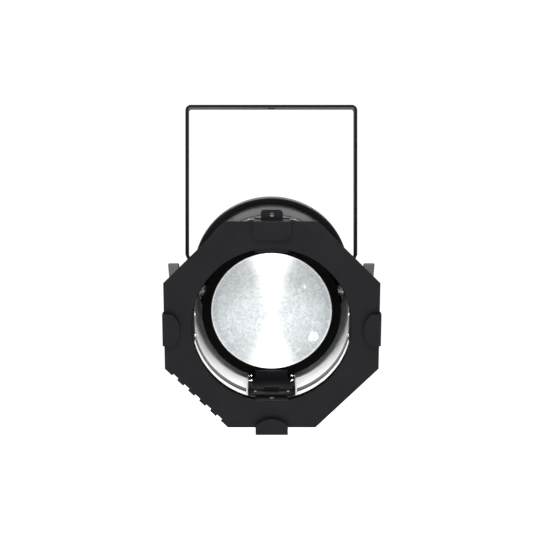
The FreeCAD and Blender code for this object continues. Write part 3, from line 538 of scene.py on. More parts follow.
class Graph:
    """A material's node tree with one Principled shader."""

    def __init__(self, name: str) -> None:
        """Makes an empty material.

        Args:
            name: the material's name.
        """
        self.material: Material = bpy.data.materials.new(name)
        self.material.use_nodes = True
        self.tree = self.material.node_tree
        self.shader = next(n for n in self.tree.nodes if n.type == "BSDF_PRINCIPLED")

    def node(self, kind: str, settings: Optional[dict] = None, inputs: Optional[dict] = None,
             output: Union[int, str] = 0) -> Wire:
        """Adds a node.

        Args:
            kind: the node's type.
            settings: its settings by name.
            inputs: values or wires for its sockets, by name or number.
            output: which output is returned.

        Returns:
            The chosen output.
        """
        made = self.tree.nodes.new(kind)
        for key, value in (settings or {}).items():
            setattr(made, key, value)
        for key, value in (inputs or {}).items():
            self.plug(made.inputs[key], value)
        return Wire(self, made.outputs[output])

    def plug(self, socket: bpy.types.NodeSocket, value: Value) -> None:
        """Links a wire to a socket, or sets the socket's own value."""
        if isinstance(value, Wire):
            self.tree.links.new(value.socket, socket)
        elif isinstance(value, tuple) and socket.type == "RGBA":
            socket.default_value = (*value[:3], 1.0)
        else:
            socket.default_value = value

    def set(self, **values: Value) -> None:
        """Sets or links the shader's sockets; underscores in a name stand for spaces."""
        for key, value in values.items():
            self.plug(self.shader.inputs[key.replace("_", " ")], value)

    def place(self, on_head: bool = False) -> Wire:
        """Where a point of the surface is, in metres.

        Args:
            on_head: whether the place is measured in the head's own frame.

        Returns:
            The position.
        """
        spot = self.node("ShaderNodeTexCoord", output="Object")
        if not on_head:
            return spot
        turn = Matrix.Rotation(-HEAD.tilt, 3, "X")
        values = {"Vector": spot, "Location": tuple(-(turn @ HEAD.pivot)),
                  "Rotation": (-HEAD.tilt, 0.0, 0.0)}
        return self.node("ShaderNodeMapping", {"vector_type": "POINT"}, values)

    def stretched(self, spot: Wire, scale: tuple[float, float, float]) -> Wire:
        """A position with its axes scaled, for a pattern longer one way than another."""
        return self.node("ShaderNodeVectorMath", {"operation": "MULTIPLY"}, {0: spot, 1: scale})

    def axes(self, spot: Wire) -> tuple[Wire, Wire, Wire]:
        """The three parts of a position."""
        first = self.node("ShaderNodeSeparateXYZ", None, {0: spot})
        outputs = first.socket.node.outputs
        return first, Wire(self, outputs[1]), Wire(self, outputs[2])

    def noise(self, spot: Wire, scale: float, detail: float = 3.0, roughness: float = 0.55,
              swirl: float = 0.0) -> Wire:
        """Soft noise from 0 to 1.

        Args:
            spot: where the pattern is read.
            scale: how fine it is, per metre.
            detail: how many finer layers it has.
            roughness: how strong they are.
            swirl: how much the pattern is stirred.

        Returns:
            The noise.
        """
        values = {"Vector": spot, "Scale": scale, "Detail": detail, "Roughness": roughness,
                  "Distortion": swirl}
        return self.node("ShaderNodeTexNoise", None, values)

    def cells(self, spot: Wire, scale: float, feature: str = "F1") -> Wire:
        """Distance to the nearest of many scattered points."""
        return self.node("ShaderNodeTexVoronoi", {"feature": feature}, {"Vector": spot, "Scale": scale})

    def mix(self, factor: Value, first: Value, second: Value) -> Wire:
        """Blends two colours.

        Args:
            factor: 0 for the first, 1 for the second.
            first: a colour.
            second: a colour.

        Returns:
            The blend.
        """
        return self.node("ShaderNodeMix", {"data_type": "RGBA"}, {0: factor, 6: first, 7: second}, output=2)

    def bump(self, height: Wire, depth: float, strength: float) -> Wire:
        """A normal from a height.

        Args:
            height: the height, from 0 to 1.
            depth: how deep 1 is, in millimetres.
            strength: how much of it shows.

        Returns:
            The normal.
        """
        values = {"Height": height, "Distance": depth * MM, "Strength": strength}
        return self.node("ShaderNodeBump", None, values)


# ------------------------------------------------------------------ finishes
@dataclass(frozen=True)
class Finish:
    """A surface finish, made as one material the first time it is used."""

    name: str
    colour: Colour
    roughness: float = 0.5

    def build(self, graph: Graph) -> None:
        """Fills the material's nodes. Each finish has its own."""
        raise NotImplementedError

    def tint(self, gain: float, lift: float = 0.0) -> Colour:
        """The finish's colour made stronger or weaker, then lifted; no part goes over 1."""
        return tuple(min(1.0, c * gain + lift) for c in self.colour)

    def material(self) -> Material:
        """The finish's material, built once."""
        held = bpy.data.materials.get(self.name)
        if held is None:
            graph = Graph(self.name)
            self.build(graph)
            held = graph.material
        return held

    def dress(self, piece: Object) -> None:
        """Gives the whole piece this finish."""
        piece.data.materials.clear()
        piece.data.materials.append(self.material())


@dataclass(frozen=True)
class PowderCoat(Finish):
    """Fine satin powder coat: a soft orange peel, faint dust and slightly uneven gloss."""

    peel: float = 0.004
    dust: float = 0.12
    gloss: float = 0.07

    def build(self, graph: Graph) -> None:
        """Fills the material's nodes."""
        spot = graph.place()
        clouds = graph.noise(spot, 22.0, 4.0)
        specks = graph.noise(spot, 900.0, 2.0, 0.6).between(0.66, 0.78)
        light = self.tint(1.35)
        dusty = self.tint(2.2, 0.004)
        coat = graph.mix(clouds.between(0.3, 0.75), self.colour, light)
        graph.set(Base_Color=graph.mix(specks * self.dust, coat, dusty))
        graph.set(Roughness=self.roughness - 0.05 + clouds * 0.10)
        peel = graph.noise(spot, 1100.0, 2.0, 0.5)
        graph.set(Normal=graph.bump(peel, self.peel, 0.5), Specular_IOR_Level=self.gloss)


@dataclass(frozen=True)
class BareAluminium(Finish):
    """Turned or spun aluminium: fine rings round the optical axis, with handling marks."""

    rings: float = 900.0
    marks: float = 0.5
    metal: float = 1.0

    def build(self, graph: Graph) -> None:
        """Fills the material's nodes."""
        spot = graph.place(on_head=True)
        x, y, z = graph.axes(spot)
        radius = (x * x + z * z) ** 0.5
        along = graph.node("ShaderNodeCombineXYZ", None, {0: radius, 1: y, 2: 0.0})
        lines = graph.noise(along, self.rings, 3.0, 0.7)
        clouds = graph.noise(spot, 35.0, 4.0)
        bright = self.tint(1.08)
        dull = self.tint(0.78)
        graph.set(Base_Color=graph.mix(clouds.between(0.25, 0.7) * 0.6 + lines * 0.3, dull, bright))
        rough = self.roughness - 0.08 + clouds * self.marks * 0.2 + lines * 0.08
        graph.set(Metallic=self.metal, Roughness=rough)
        graph.set(Normal=graph.bump(lines, 0.012, 0.5))


@dataclass(frozen=True)
class ZincPlate(Finish):
    """Bright zinc on small steel parts, slightly blotched."""

    def build(self, graph: Graph) -> None:
        """Fills the material's nodes."""
        spot = graph.place()
        clouds = graph.noise(spot, 260.0, 3.0)
        warm = (self.colour[0] * 0.95, self.colour[1] * 0.9, self.colour[2] * 0.78)
        graph.set(Base_Color=graph.mix(clouds.between(0.4, 0.8) * 0.5, self.colour, warm))
        graph.set(Metallic=1.0, Roughness=self.roughness - 0.06 + clouds * 0.14)
        graph.set(Normal=graph.bump(graph.noise(spot, 2400.0, 2.0), 0.008, 0.5))


@dataclass(frozen=True)
class MouldedPlastic(Finish):
    """Spark-eroded mould texture on black plastic, rubbed a little shiny in places."""

    grain: float = 0.03

    def build(self, graph: Graph) -> None:
        """Fills the material's nodes."""
        spot = graph.place()
        rubbed = graph.noise(spot, 45.0, 3.0).between(0.45, 0.75)
        grain = graph.cells(spot, 1700.0)
        paler = self.tint(1.5, 0.006)
        graph.set(Base_Color=graph.mix(grain.between(0.1, 0.7) * 0.45, self.colour, paler))
        graph.set(Roughness=self.roughness + 0.05 - rubbed * 0.14)
        graph.set(Normal=graph.bump(grain, self.grain, 0.6))


@dataclass(frozen=True)
class Rubber(Finish):
    """Matt rubber with a faint bloom."""

    def build(self, graph: Graph) -> None:
        """Fills the material's nodes."""
        spot = graph.place()
        bloom = graph.noise(spot, 120.0, 4.0).between(0.5, 0.8)
        paler = self.tint(1.8, 0.01)
        graph.set(Base_Color=graph.mix(bloom * 0.5, self.colour, paler))
        graph.set(Roughness=self.roughness + bloom * 0.1, Specular_IOR_Level=0.3)
        graph.set(Normal=graph.bump(graph.noise(spot, 1900.0, 2.0), 0.02, 0.5))


@dataclass(frozen=True)
class Felt(Finish):
    """Black felt with a short matted pile."""

    def build(self, graph: Graph) -> None:
        """Fills the material's nodes."""
        spot = graph.place(on_head=True)
        pile = graph.noise(graph.stretched(spot, (1.0, 0.4, 1.0)), 2600.0, 4.0, 0.8)
        mats = graph.noise(spot, 240.0, 3.0)
        paler = self.tint(3.0, 0.008)
        graph.set(Base_Color=graph.mix(pile.between(0.4, 0.75) * 0.7, self.colour, paler))
        graph.set(Roughness=0.96, Sheen_Weight=0.25, Sheen_Roughness=0.6)
        graph.set(Normal=graph.bump(pile * 0.7 + mats * 0.3, 0.25, 0.8))


@dataclass(frozen=True)
class PaintedLightLens(Finish):
    """Pebbled lens with painted light: a painted highlight flare above and below, greyer at the sides, two small
    painted highlights and a painted highlight on the rim; the flare and highlights also glow through the emission.

    Each painted glint is its place across, its place upward and its radius, in metres.
    """

    radius: float = 77.0
    # Strength of the emission that carries the painted flare and painted highlights.
    glow: float = 0.75
    shade: Colour = (0.262, 0.283, 0.296)
    light: Colour = (0.520, 0.545, 0.552)
    painted_glints: tuple[tuple[float, float, float], ...] = ((0.0393, 0.0320, 0.0026), (0.0514, -0.0320, 0.0062))

    def build(self, graph: Graph) -> None:
        """Fills the material's nodes."""
        spot = graph.place(on_head=True)
        x, y, z = graph.axes(spot)
        across = abs(x) / (self.radius * MM)
        upward = abs(z) / (self.radius * MM)
        radius = ((x * x + z * z) ** 0.5) / (self.radius * MM)
        wander = graph.noise(spot, 42.0, 3.0, 0.6)
        pebbles = graph.cells(spot, 210.0)
        scuffs = graph.noise(spot, 180.0, 6.0, 0.66, 1.4)
        hairs = 1.0 - (abs(graph.noise(spot, 260.0, 4.0, 0.6, 1.2) - 0.5) * 9.0).clamped()
        # Outline of the painted flare: a bow tie of painted highlight, wide above and below, narrow at the middle.
        edge = upward * 0.44 - 0.025 - across + (wander - 0.5) * 0.10 + (scuffs - 0.5) * 0.08
        painted_flare = edge.between(-0.24, 0.24) ** 2.0
        # A wider painted glow round the painted flare.
        painted_halo = edge.between(-0.42, 0.05)
        # Scratches and hairlines, with a little of the painted glow round the flare mixed in.
        scratches_and_painted_halo = (scuffs.between(0.36, 0.66) * 0.65 + hairs * 0.35) * 0.75 + painted_halo * 0.25
        side = graph.mix(scratches_and_painted_halo, self.shade, self.light)
        ring = 1.0 - abs(radius - 0.64).between(0.0, 0.024)
        side = graph.mix(ring * 0.45, side, self.shade)
        second = 1.0 - abs(radius - 0.88).between(0.0, 0.020)
        side = graph.mix(second * 0.4, side, self.shade)
        # Tint of the painted flare, warmer in patches and whiter at its core.
        warm = graph.mix(wander.between(0.45, 0.6), (0.90, 0.90, 0.90), (0.90, 0.86, 0.78))
        colour = graph.mix(painted_flare, side, graph.mix(edge.between(0.0, 0.12), warm, (0.95, 0.95, 0.95)))
        # Two painted glints: small painted reflections, broken up by the scratches.
        small, large = (self.glint(graph, x, z, *place) for place in self.painted_glints)
        painted_glints = (small + large) * scuffs.between(0.38, 0.56)
        # A painted highlight line round the rim of the lens.
        rim = radius.between(0.925, 0.945)
        bright = (painted_glints.clamped() * 0.9 + rim * 0.35).clamped()
        # The painted glints and painted rim highlight lift the colour towards white.
        graph.set(Base_Color=graph.mix(bright, colour, (0.93, 0.94, 0.95)), Metallic=0.0)
        graph.set(Roughness=0.22 + scratches_and_painted_halo * 0.14, IOR=1.5, Emission_Strength=self.glow)
        # Painted glow: the painted flare and painted highlights also shine through the emission.
        painted_glow = (painted_flare * 0.60 + bright * 0.5).clamped()
        graph.set(Emission_Color=graph.mix(painted_glow, (0.02, 0.02, 0.02), (1.0, 1.0, 1.0)))
        graph.set(Normal=graph.bump(pebbles, 0.05, 0.4))

    @staticmethod
    def glint(graph: Graph, x: Wire, z: Wire, at_x: float, at_z: float, reach: float) -> Wire:
        """A painted glint: a small bright reflection painted into the colour.

        Args:
            graph: the material's graph; not used.
            x: place across the lens.
            z: place up the lens.
            at_x: the glint's middle across.
            at_z: the glint's middle upward.
            reach: its radius.

        Returns:
            1 in the glint, 0 outside.
        """
        off_x, off_z = x - at_x, z - at_z
        return ((off_x * off_x + off_z * off_z) ** 0.5).between(reach * 1.25, reach * 0.55)


@dataclass(frozen=True)
class Phosphor(Finish):
    """Yellow phosphor disc on a white board."""

    def build(self, graph: Graph) -> None:
        """Fills the material's nodes."""
        spot = graph.place(on_head=True)
        x, y, z = graph.axes(spot)
        radius = (x * x + z * z) ** 0.5
        grain = graph.noise(spot, 1800.0, 2.0)
        yellow = graph.mix(grain, (0.90, 0.72, 0.16), (0.95, 0.84, 0.34))
        board = graph.mix(grain, (0.78, 0.78, 0.74), (0.86, 0.86, 0.83))
        graph.set(Base_Color=graph.mix(radius.between(0.0112, 0.0115), yellow, board))
        graph.set(Roughness=0.45 + grain * 0.1, Normal=graph.bump(grain, 0.01, 0.5))


@dataclass(frozen=True)
class Lacquer(Finish):
    """Green circuit board with paler copper runs and dark chips on its back."""

    chips: float = 161.4

    def build(self, graph: Graph) -> None:
        """Fills the material's nodes."""
        spot = graph.place(on_head=True)
        x, y, z = graph.axes(spot)
        runs = graph.cells(graph.stretched(spot, (1.0, 0.0, 2.2)), 160.0, "SMOOTH_F1")
        copper = runs.between(0.30, 0.34) - runs.between(0.40, 0.44)
        board = graph.mix(copper, self.colour, (0.05, 0.32, 0.14))
        grain = graph.noise(spot, 1500.0, 2.0)
        dark = graph.mix(grain, (0.016, 0.016, 0.017), (0.035, 0.035, 0.037))
        off_board = y.between((self.chips - 2.02) * MM, (self.chips - 1.98) * MM)
        above = y.between((self.chips - 0.38) * MM, (self.chips - 0.34) * MM)
        graph.set(Base_Color=graph.mix((1.0 - off_board + above).clamped(), board, dark))
        graph.set(Roughness=0.30 + grain * 0.1, Normal=graph.bump(copper, 0.03, 0.6))


@dataclass(frozen=True)
class SmokedWindow(Finish):
    """Polished smoked plastic with fine wipe marks."""

    def build(self, graph: Graph) -> None:
        """Fills the material's nodes."""
        spot = graph.place(on_head=True)
        wipes = graph.noise(graph.stretched(spot, (0.3, 1.0, 1.4)), 420.0, 4.0, 0.7)
        graph.set(Base_Color=graph.mix(wipes, self.colour, (0.05, 0.02, 0.02)))
        graph.set(Roughness=0.08 + wipes * 0.10, Coat_Weight=0.6, Coat_Roughness=0.05)
        graph.set(Normal=graph.bump(wipes, 0.004, 0.4))


@dataclass(frozen=True)
class StudioPaper(Finish):
    """Seamless pale paper under the light."""

    glow: float = 0.75

    def build(self, graph: Graph) -> None:
        """Fills the material's nodes."""
        spot = graph.place()
        fibres = graph.noise(spot, 60.0, 4.0)
        paler = self.tint(1.03)
        graph.set(Base_Color=graph.mix(fibres, self.colour, paler), Roughness=self.roughness)
        graph.set(Emission_Color=self.colour, Emission_Strength=self.glow)


class Finishes:
    """Every finish on the light, by the record's slot names."""

    STEEL_COAT = PowderCoat("black_steel_coat", (0.0040, 0.0037, 0.0047), 0.46)
    ALUMINIUM_COAT = PowderCoat("black_aluminium_coat", (0.0040, 0.0038, 0.0044), 0.40)
    YOKE_COAT = PowderCoat("yoke_coat", (0.0024, 0.0024, 0.0027), 0.42, 0.0004, 0.015, 0.035)
    BARE = BareAluminium("bare_aluminium_satin", (0.86, 0.86, 0.87), 0.34)
    SLEEVE = BareAluminium("bright_sleeve", (0.95, 0.96, 0.96), 0.46, 700.0, 0.5, 0.12)
    POLISHED = BareAluminium("polished_aluminium_spun", (0.90, 0.90, 0.91), 0.16, 600.0)
    ZINC = ZincPlate("zinc_plate", (0.66, 0.66, 0.65), 0.34)
    FLAT_BLACK = PowderCoat("flat_black_paint", (0.0010, 0.0010, 0.0010), 0.75, 0.004, 0.1, 0.03)
    DARK_ZINC = ZincPlate("blackened_zinc", (0.12, 0.12, 0.12), 0.42)
    BRIGHT_ZINC = ZincPlate("polished_zinc", (0.85, 0.85, 0.84), 0.22)
    PLASTIC = MouldedPlastic("black_moulded_plastic", (0.020, 0.020, 0.022), 0.44)
    RUBBER = Rubber("black_rubber", (0.016, 0.016, 0.016), 0.72)
    KEYS = Rubber("grey_key_rubber", (0.16, 0.16, 0.17), 0.62)
    FELT = Felt("black_felt", (0.008, 0.008, 0.008), 0.96)
    LENS = PaintedLightLens("lens_with_painted_light", (0.85, 0.87, 0.90), 0.2)
    LED = Phosphor("phosphor_and_board", (0.9, 0.8, 0.3), 0.45)
    BOARD = Lacquer("green_board_lacquer", (0.016, 0.16, 0.065), 0.3)
    WINDOW = SmokedWindow("smoked_window", (0.020, 0.008, 0.008), 0.1)
    BRASS = ZincPlate("contact_brass", (0.80, 0.60, 0.28), 0.28)
    PAPER = StudioPaper("studio_paper", (0.93, 0.93, 0.93), 0.9)

    BY_SLOT = {
        "black_steel": STEEL_COAT, "black_aluminium": ALUMINIUM_COAT, "bare_aluminium": BARE,
        "polished_aluminium": POLISHED, "plated_steel": ZINC, "black_plastic": PLASTIC, "rubber": RUBBER,
        "key_rubber": KEYS, "felt": FELT, "glass": LENS, "led": LED, "circuit_board": BOARD,
        "dark_window": WINDOW, "contact_brass": BRASS,
    }


# ------------------------------------------------------------------ hardware
class Aim(Enum):
    """Which way a row of fasteners points."""

    RADIAL = "radial"
    REARWARD = "rearward"
    SIDEWAYS = "sideways"

    def direction(self, spot: Vector) -> Vector:
        """The fastener's line at a place.

        Args:
            spot: the fastener's middle, in the head's frame.

        Returns:
            A unit vector.
        """
        if self is Aim.RADIAL:
            return Vector((spot.x, 0, spot.z)).normalized()
        if self is Aim.SIDEWAYS:
            return Vector((math.copysign(1.0, spot.x), 0, 0))
        return Vector((0, 1, 0))


@dataclass
class Screw:
    """A cross-head screw, head up along Y, its head's top at the origin."""

    head_radius: float
    head_high: float
    shank_radius: float
    length: float

    def build(self, name: str) -> Object:
        """Turns the screw and cuts its recess.

        Args:
            name: the piece's name.

        Returns:
            The screw.
        """
        crown = min(self.head_high * 0.55, self.head_radius * 0.5)
        profile = [(0.0, 0.0), (self.head_radius * 0.45, -crown * 0.08),
                   (self.head_radius * 0.78, -crown * 0.40), (self.head_radius, -crown),
                   (self.head_radius, -self.head_high),
                   (self.shank_radius, -self.head_high), (self.shank_radius, 0.4 - self.length),
                   (self.shank_radius - 0.4, -self.length), (0.0, -self.length)]
        screw = Bench.turned(name, profile, 28, closed=False)
        self.cut_recess(screw)
        return Bench.smooth(screw, 32.0)

    def cut_recess(self, screw: Object) -> None:
        """Cuts the driver's cross into the head."""
        reach, half = self.head_radius * 0.62, self.head_radius * 0.13
        deep = self.head_high * 0.6
        blade = Bench.cube("driver_blade", (-reach, -deep, -half), (reach, 1, half))
        cross = Bench.cube("driver_cross", (-half, -deep, -reach), (half, 1, reach))
        Bench.cut(screw, cross, blade)


@dataclass
class FastenerSet:
    """All the fasteners of one CAD node, each new one where the CAD has its own."""

    node: str
    aim: Aim
    finish: Optional[Finish] = None

    def measure(self, points: list[Vector]) -> tuple[Vector, Vector, Screw]:
        """Reads one fastener's size and place from its CAD solid.

        Args:
            points: the solid's points.

        Returns:
            The top of the head, the direction it faces, and the screw to make.
        """
        box = Box.around(points)
        line = self.aim.direction(box.middle)
        depths = [(p - box.middle).dot(line) for p in points]
        low, high = min(depths), max(depths)
        reaches = [((p - box.middle) - line * d).length for p, d in zip(points, depths)]
        tail = max(r for r, d in zip(reaches, depths) if d < low + 0.3)
        nose = max(r for r, d in zip(reaches, depths) if d > high - 0.9)
        if tail > nose:
            line, depths, low, high = -line, [-d for d in depths], -high, -low
        head = max(reaches)
        wide = [d for r, d in zip(reaches, depths) if r > head - 0.15]
        slim = max(r for r, d in zip(reaches, depths) if d < low + 0.3)
        screw = Screw(*(round(size, 2) for size in (head, high - min(wide), slim, high - low)))
        return box.middle + line * high, line, screw

    def build(self) -> Object:
        """Makes each size once, and copies it to its places.

        Returns:
            All the fasteners as one object.
        """
        made: dict[str, Object] = {}
        copies = []
        for number, points in enumerate(HEAD.pieces(self.node)):
            top, line, screw = self.measure(points)
            key = f"{screw}"
            if key not in made:
                made[key] = screw.build(f"{self.node}_pattern_{len(made)}")
            twin = Bench.copy(made[key], f"{self.node}_{number}")
            turn = Vector((0, 1, 0)).rotation_difference(line) @ Quaternion((0, 1, 0), 0.7 + 0.9 * number)
            copies.append(Bench.place(twin, Matrix.Translation(top * MM) @ turn.to_matrix().to_4x4()))
        for pattern in made.values():
            bpy.data.objects.remove(pattern)
        return Bench.on_head(Bench.joined(f"{self.node}_set", copies))

    def dress(self) -> None:
        """Builds the set and hangs it on its body."""
        Bench.finish(self.build(), self.finish or Finishes.BY_SLOT[SLOT_OF[self.node]], [self.node])


# ------------------------------------------------------------------ sub-assemblies
@dataclass
class EasedParts:
    """CAD parts whose shape is right, copied with their edges broken."""

    widths: dict[str, float]
    finishes: dict[str, Finish] = field(default_factory=dict)

    def dress(self) -> None:
        """Eases each part and gives it its finish."""
        for node, width in self.widths.items():
            piece = Bench.from_cad(node, f"{node}_eased")
            Bench.ease(piece, width)
            Bench.finish(piece, self.finishes.get(node, Finishes.BY_SLOT[SLOT_OF[node]]), [node])


@dataclass
class Barrel:
    """Spun can with a rolled mouth, two pressed grooves and a bead, and its bright sleeve."""

    wall: float = 1.5
    lip: float = 1.9
    groove_wide: float = 3.2
    groove_deep: float = 1.1
    groove_places: tuple[float, float] = (32.5, 168.5)
    bead_place: float = 222.5
    slot_half: float = 4.5
    zoom_travel: float = 50.0
    steps: int = 160

    def sizes(self) -> tuple[float, float, float, float]:
        """Inner radius, outer radius, mouth and rear end, from the CAD barrel."""
        points = HEAD.points("barrel")
        inner = min(math.hypot(p.x, p.z) for p in points)
        rear = max(p.y for p in points)
        mouth = min(p.y for p in points) + self.lip
        return inner, inner + self.wall, mouth, rear

    def groove(self, outer: float, y: float) -> list[tuple[float, float]]:
        """The outline across one pressed groove, front to rear."""
        half = self.groove_wide / 2
        shoulder = outer - self.groove_deep * 0.8
        return [(outer, y - half - 0.5), (outer - 0.1, y - half), (shoulder, y - half * 0.45),
                (outer - self.groove_deep, y), (shoulder, y + half * 0.45),
                (outer - 0.1, y + half), (outer, y + half + 0.5)]

    def outline(self) -> list[tuple[float, float]]:
        """The whole section of the wall, outside from front to rear and back along the inside."""
        inner, outer, mouth, rear = self.sizes()
        roll = arc((outer + 0.7, mouth), self.lip, -170, 110, 14)
        bead_y = mouth + self.bead_place
        bead = arc((outer - 0.3, bead_y), 1.5, -78, 78, 7)
        section = [(inner, mouth + 4.0), (inner, mouth + 0.3)] + roll
        section.append((outer, mouth + 2.4))
        for place in self.groove_places:
            section += self.groove(outer, mouth + place)
        section += [(outer, bead_y - 2.2)] + bead + [(outer, bead_y + 2.2)]
        return section + [(outer, rear - 0.2), (outer - 0.2, rear), (inner + 0.2, rear), (inner, rear - 0.2)]

    def build_can(self) -> Object:
        """Spins the can and cuts its zoom slot and pivot holes."""
        can = Bench.turned("barrel_can", self.outline(), self.steps)
        screw = HEAD.box("zoom_thumbscrew").middle
        half, ends = self.slot_half, (screw.y - 1, screw.y + self.zoom_travel + 1)
        slot = [Bench.cube("slot_middle", (-half, ends[0], -110), (half, ends[1], -80))]
        slot += [Bench.rod("slot_end", half, (0, y, -110), (0, y, -80)) for y in ends]
        pivots = Bench.rod("pivot_hole", 7.0, (-120, 0, 0), (120, 0, 0))
        Bench.cut(can, *slot, pivots)
        Bench.smooth(can, 38.0)
        return Bench.on_head(can)

    def build_sleeve(self) -> Object:
        """The bare sleeve inside the can, with the same slot and larger pivot holes."""
        points = HEAD.points("barrel_liner")
        inner = min(math.hypot(p.x, p.z) for p in points)
        outer = max(math.hypot(p.x, p.z) for p in points)
        front, rear = min(p.y for p in points), max(p.y for p in points)
        ease = 0.25
        outline = [(inner, front + ease), (inner + ease, front), (outer - ease, front), (outer, front + ease),
                   (outer, rear - ease), (outer - ease, rear), (inner + ease, rear), (inner, rear - ease)]
        sleeve = Bench.turned("barrel_sleeve", outline, self.steps)
        screw = HEAD.box("zoom_thumbscrew").middle
        half, past = self.slot_half + 0.5, 5.5
        slot = Bench.cube("sleeve_slot", (-half, screw.y - past, -110),
                          (half, screw.y + self.zoom_travel + past, -80))
        pivots = Bench.rod("sleeve_holes", 11.3, (-120, 0, 0), (120, 0, 0))
        Bench.cut(sleeve, slot, pivots)
        Bench.smooth(sleeve, 38.0)
        return Bench.on_head(sleeve)

    def dress(self) -> None:
        """Builds the can and the sleeve and hangs them on the head."""
        Bench.finish(self.build_can(), Finishes.ALUMINIUM_COAT, ["barrel"])
        Bench.finish(self.build_sleeve(), Finishes.SLEEVE, ["barrel_liner"])


@dataclass
class LensSet:
    """Domed lens with fine turned rings, in its ring holder."""

    pitch: float = 1.1
    relief: float = 0.10
    dome: float = 73.4
    rise: float = 6.0
    steps: int = 128

    def build_lens(self) -> Object:
        """Turns the lens: a ringed dome, a square rim and a flat back."""
        points = HEAD.points("lens")
        rim = max(math.hypot(p.x, p.z) for p in points)
        front, back = min(p.y for p in points), max(p.y for p in points)
        dome, rise = self.dome, self.rise
        ball = (dome * dome + rise * rise) / (2 * rise)
        outline = [(0.0, front)]
        rings = int(dome / self.pitch)
        for ring in range(1, rings):
            for share, sink in ((0.0, self.relief), (0.45, 0.0)):
                r = (ring + share) * self.pitch
                outline.append((r, front + ball - math.sqrt(ball * ball - r * r) + sink))
        outline += [(dome - 0.3, front + rise), (dome, front + rise + 0.3), (rim - 0.3, front + rise + 0.3),
                    (rim, front + rise + 0.6), (rim, back - 0.3), (rim - 0.3, back), (0.0, back)]
        lens = Bench.turned("front_lens", outline, self.steps, closed=False)
        Bench.smooth(lens, 40.0)
        return Bench.on_head(lens)

    def dress(self) -> None:
        """Builds the lens and hangs it on the carriage."""
        Bench.finish(self.build_lens(), Finishes.LENS, ["lens"])


@dataclass
class LatchSprings:
    """Two torsion springs wound on the ends of the latch's pin."""

    wire: float = 0.5
    coil: float = 2.15
    turns: int = 5

    def build(self) -> Object:
        """Winds both springs and adds their legs."""
        pin = HEAD.box("latch_pin").middle
        coils = []
        for points in HEAD.pieces("latch_springs"):
            box = Box.around(points)
            side = math.copysign(1.0, box.middle.x)
            start, length = box.low.x + self.wire, box.size.x - 2 * self.wire
            bpy.ops.object.select_all(action="DESELECT")
            bpy.ops.mesh.primitive_circle_add(vertices=10, radius=self.wire * MM, fill_type="NGON",
                                              location=Vector((start, pin.y, pin.z + self.coil)) * MM,
                                              rotation=(math.pi / 2, 0, 0))
            coil = Bench.named("spring_coil")
            Bench.place(coil, Matrix.Translation(Vector((-start, -pin.y, -pin.z)) * MM) @ coil.matrix_world)
            Bench.apply(coil, "SCREW", axis="X", screw_offset=length / self.turns * MM, iterations=self.turns,
                        steps=20, render_steps=20, use_merge_vertices=False)
            Bench.place(coil, Matrix.Translation(Vector((start, pin.y, pin.z)) * MM))
            leg_x = box.low.x + self.wire if side > 0 else box.high.x - self.wire
            leg = Bench.rod("spring_leg", self.wire, (leg_x, pin.y + self.coil, pin.z - 12),
                            (leg_x, pin.y + self.coil, pin.z + 0.3), 10)
            coils += [coil, leg]
        springs = Bench.joined("latch_spring_pair", coils)
        Bench.mend(springs, 0.0005)
        Bench.smooth(springs, 50.0)
        return Bench.on_head(springs)

    def dress(self) -> None:
        """Builds the springs and hangs them on the head."""
        Bench.finish(self.build(), Finishes.DARK_ZINC, ["latch_springs"])


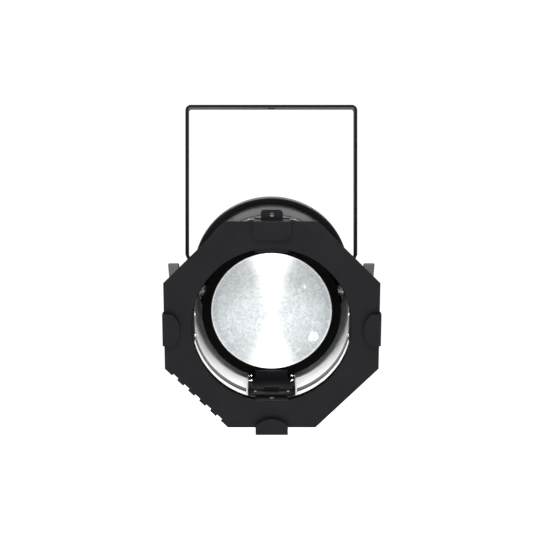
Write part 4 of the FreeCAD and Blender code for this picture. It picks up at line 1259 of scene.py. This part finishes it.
# ------------------------------------------------------------------ studio
@dataclass
class Studio:
    """White paper, a pale surround, soft lamps and the camera."""

    floor_drop: float = 0.62
    lens: float = 94.56
    camera_from_pivot: tuple[float, float, float] = (-0.0062, -1.8093, 0.0307)

    def build_floor(self) -> None:
        """A wide sheet of pale paper, well below the hanging light."""
        bpy.ops.object.select_all(action="DESELECT")
        bpy.ops.mesh.primitive_plane_add(size=40, location=(0, 0, 0))
        floor = Bench.named("studio_floor")
        bpy.ops.object.mode_set(mode="EDIT")
        bpy.ops.mesh.subdivide(number_cuts=6)
        bpy.ops.object.mode_set(mode="OBJECT")
        Bench.place(floor, Matrix.Translation((0, 0, -self.floor_drop)))
        Finishes.PAPER.dress(floor)

    def build_world(self) -> None:
        """A surround that is white to look at and gives a softer grey light."""
        world = bpy.data.worlds.new("studio")
        world.use_nodes = True
        tree = world.node_tree
        seen, fill = tree.nodes["Background"], tree.nodes.new("ShaderNodeBackground")
        seen.inputs["Color"].default_value = (1, 1, 1, 1)
        seen.inputs["Strength"].default_value = 1.05
        fill.inputs["Color"].default_value = (0.96, 0.98, 1, 1)
        fill.inputs["Strength"].default_value = 0.42
        path, blend = tree.nodes.new("ShaderNodeLightPath"), tree.nodes.new("ShaderNodeMixShader")
        tree.links.new(path.outputs["Is Camera Ray"], blend.inputs[0])
        tree.links.new(fill.outputs[0], blend.inputs[1])
        tree.links.new(seen.outputs[0], blend.inputs[2])
        tree.links.new(blend.outputs[0], tree.nodes["World Output"].inputs[0])
        bpy.context.scene.world = world

    def lamp(self, name: str, place: Sequence[float], aim: Sequence[float], size: tuple[float, float],
             power: float) -> None:
        """Adds one soft lamp.

        Args:
            name: its name.
            place: where it hangs, in metres.
            aim: what it points at.
            size: its width and height.
            power: its watts.
        """
        run = Vector(aim) - Vector(place)
        turn = run.to_track_quat("-Z", "Y").to_euler()
        bpy.ops.object.light_add(type="AREA", location=place, rotation=turn)
        lamp = bpy.context.active_object
        lamp.name = name
        lamp.data.shape = "RECTANGLE"
        lamp.data.size, lamp.data.size_y = size
        lamp.data.energy = power

    def build_lamps(self) -> None:
        """Boxes overhead, behind and in front, a key from the left and a kicker from the right."""
        head = HEAD.pivot
        self.lamp("overhead_box", (0, -0.35, 1.15), (0, -0.05, head.z), (1.3, 0.9), 14.0)
        self.lamp("rear_box", (0, 1.9, 1.05), head, (1.6, 0.9), 13.0)
        self.lamp("left_key", (-1.8, -0.5, 0.1), head, (0.9, 1.4), 9.0)
        self.lamp("right_kicker", (1.9, 0.2, 0.1), head, (0.8, 1.4), 5.0)
        self.lamp("front_box", (0, -1.7, 0.75), head, (0.9, 0.6), 51.0)

    def build_camera(self) -> None:
        """A level camera straight in front, as far away and as long as the view needs."""
        place = HEAD.pivot + Vector(self.camera_from_pivot)
        bpy.ops.object.camera_add(location=place, rotation=(math.pi / 2, 0, 0))
        camera = bpy.context.active_object
        camera.name = "studio_camera"
        camera.data.lens = self.lens
        camera.data.sensor_width = 36.0
        camera.data.clip_start, camera.data.clip_end = 0.05, 100.0
        bpy.context.scene.camera = camera

    def dress(self) -> None:
        """Builds the whole studio."""
        self.build_floor()
        self.build_world()
        self.build_lamps()
        self.build_camera()
        bpy.context.scene.view_settings.view_transform = "Standard"
        log.info("studio: floor %.2f m below the hanging hole", self.floor_drop)


def main() -> None:
    """Builds and dresses every piece of the light, then the studio."""
    Barrel().dress()
    LensSet().dress()
    LatchSprings().dress()
    FastenerSet("barrel_screws", Aim.RADIAL, finish=Finishes.DARK_ZINC).dress()
    FastenerSet("guide_screws", Aim.SIDEWAYS, finish=Finishes.BRIGHT_ZINC).dress()
    FastenerSet("panel_screws", Aim.REARWARD).dress()
    FastenerSet("fan_posts", Aim.REARWARD).dress()
    sheet = dict.fromkeys((
        "clip_left clip_right clip_bottom latch_bracket latch_flap slide_rail carriage_foot "
        "driver_bracket lens_holder lens_retainer holder_ring bulkhead rear_panel").split(), 0.28)
    small = dict.fromkeys((
        "latch_pin rivets pivot_nuts led_module led_clamp reflector control_board release_tab "
        "contact_pins fuse_holder fuse_cap button_1 button_2 button_3 button_4 tilt_washers "
        "friction_washers tilt_stud_left tilt_stud_right display_window mouth_band "
        "zoom_thumbscrew fan_rotor colour_frame heat_sink").split(), 0.2)
    large = dict.fromkeys((
        "yoke_bracket tilt_knob_left tilt_knob_right pivot_saddles frame_pad fan_frame "
        "driver_case rear_shell data_inlet data_outlet power_inlet power_outlet safety_eye").split(), 0.5)
    special = {"yoke_bracket": Finishes.YOKE_COAT, "lens_holder": Finishes.FLAT_BLACK,
               "lens_retainer": Finishes.FLAT_BLACK, "latch_pin": Finishes.DARK_ZINC,
               "holder_ring": Finishes.FLAT_BLACK}
    EasedParts({**sheet, **small, **large}, special).dress()
    Studio().dress()


if __name__ == "__main__":
    main()
